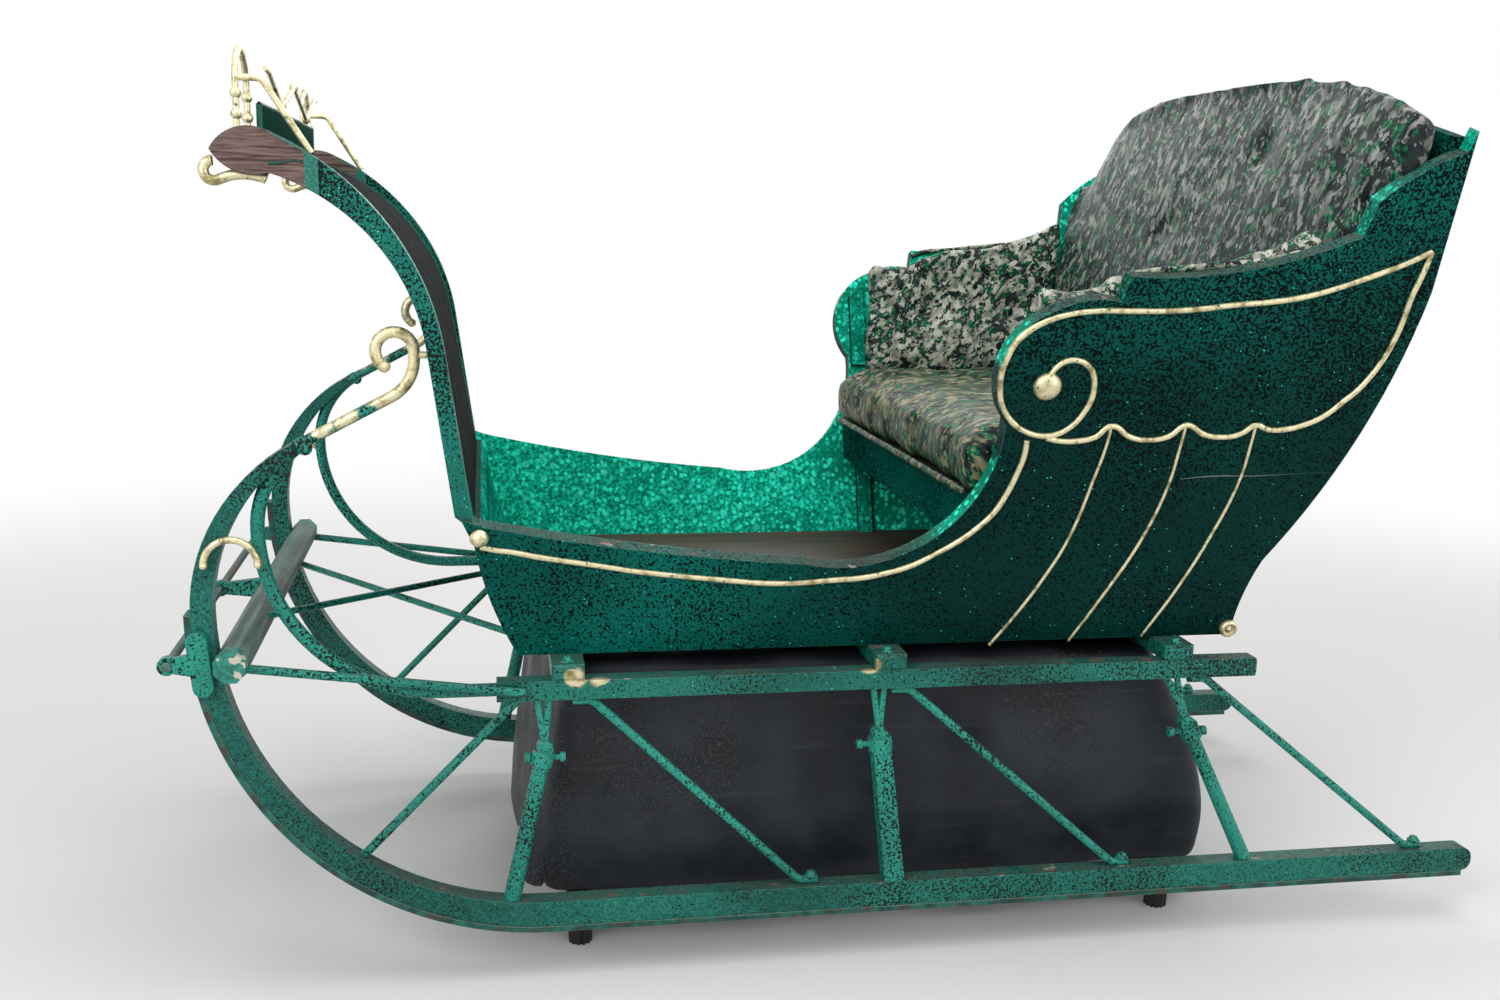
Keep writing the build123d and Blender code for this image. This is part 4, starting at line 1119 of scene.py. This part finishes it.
# Gilt zigzag behind the wire, from the middle and up from the wire's foot in millimetres
ZIGZAG = [(-290, 100), (-262, 98), (-145, 62), (0, 98), (145, 62), (262, 98), (290, 100)]
zigzag_gap = 0.006
zigzag_radius = 0.0034
ball_corners = (2, 3, 4)
zigzag = [Vector((mesh_high.x + zigzag_gap, y * MM, mesh_low.z + up * MM)) for y, up in ZIGZAG]
zigzag_bars = [[start, (start + end) / 2, end] for start, end in zip(zigzag, zigzag[1:])]
tubes("dash_zigzag", zigzag_bars, zigzag_radius, gilt, uneven=0.1)
zigzag_balls = [(zigzag[corner], upward) for corner in ball_corners]
lathe(SMALL_BALL, zigzag_balls, "zigzag_balls", gilt, steps=12)


# Floor, world and lamps
WHITE = (1, 1, 1)
floor_reach = 14
fade_start = 1.4
fade_end = 4.2
ambient = 0.34


def studio_floor_material():
    """A pale floor that keeps the shadow, and is seen as white far out."""
    tree = Tree("studio_floor")
    tree.done((0.78, 0.78, 0.77), roughness=0.9, gloss=0.1)
    away = tree.add("ShaderNodeVectorMath", {0: tree.place}, operation="LENGTH").outputs["Value"]
    path = tree.add("ShaderNodeLightPath")
    seen = tree.either(path.outputs["Is Camera Ray"], path.outputs["Is Glossy Ray"])
    fade = tree.both(tree.step(away, low=fade_start, high=fade_end), seen)
    white = tree.add("ShaderNodeEmission", {"Color": WHITE, "Strength": 1.0})
    blend = tree.add("ShaderNodeMixShader", {0: fade})
    tree.links.new(tree.shader.outputs[0], blend.inputs[1])
    tree.links.new(white.outputs[0], blend.inputs[2])
    tree.links.new(blend.outputs[0], tree.nodes["Material Output"].inputs["Surface"])
    return tree.material


def studio_world():
    """Plain soft light on the object, and full white where the world itself is seen."""
    world = bpy.data.worlds.new("studio")
    world.use_nodes = True
    nodes = world.node_tree.nodes
    links = world.node_tree.links
    light_path = nodes.new("ShaderNodeLightPath")
    seen = light_path.outputs["Is Camera Ray"]
    for kind in ("Is Glossy Ray", "Is Transmission Ray"):
        either = nodes.new("ShaderNodeMath")
        either.operation = "MAXIMUM"
        links.new(seen, either.inputs[0])
        links.new(light_path.outputs[kind], either.inputs[1])
        seen = either.outputs[0]
    level = nodes.new("ShaderNodeMapRange")
    level.inputs["To Min"].default_value = ambient
    level.inputs["To Max"].default_value = 1.0
    links.new(seen, level.inputs["Value"])
    background = nodes["Background"]
    background.inputs["Color"].default_value = (*WHITE, 1)
    links.new(level.outputs["Result"], background.inputs["Strength"])
    return world


corner_signs = ((-1, -1), (1, -1), (1, 1), (-1, 1))
floor_corners = [(x * floor_reach, y * floor_reach, 0) for x, y in corner_signs]
floor_mesh = bpy.data.meshes.new("studio_floor")
floor_mesh.from_pydata(floor_corners, [], [(0, 1, 2, 3)])
floor_mesh.materials.append(studio_floor_material())
studio_floor = bpy.data.objects.new("studio_floor", floor_mesh)
bpy.context.scene.collection.objects.link(studio_floor)
bpy.context.scene.world = studio_world()

# Lamps: place, size in metres and power
LAMPS = {
    "overhead": ((0.2, -0.4, 3.4), 3.2, 78),
    "key": ((-2.8, -3.0, 2.6), 2.2, 90),
    "fill": ((3.0, -2.6, 1.8), 2.0, 42),
    "rear": ((0.5, 3.4, 2.6), 2.0, 40),
}
aim = Vector((0, 0, 0.6))
for lamp_name, (place, size, power) in LAMPS.items():
    lamp = bpy.data.lights.new(lamp_name, "AREA")
    lamp.size = size
    lamp.energy = power
    lamp_object = bpy.data.objects.new(lamp_name, lamp)
    lamp_object.location = place
    lamp_object.rotation_euler = (aim - Vector(place)).to_track_quat("-Z", "Y").to_euler()
    bpy.context.scene.collection.objects.link(lamp_object)

camera = bpy.data.cameras.new("camera")
camera.lens = lens
camera.sensor_width = sensor_width
camera.sensor_fit = "HORIZONTAL"
camera_object = bpy.data.objects.new("camera", camera)
bpy.context.scene.collection.objects.link(camera_object)
camera_turn = Matrix((RIGHT, UP, -FORWARD)).transposed().to_4x4()
camera_object.matrix_world = Matrix.Translation(camera_place) @ camera_turn
bpy.context.scene.camera = camera_object
bpy.context.scene.view_settings.view_transform = "Standard"
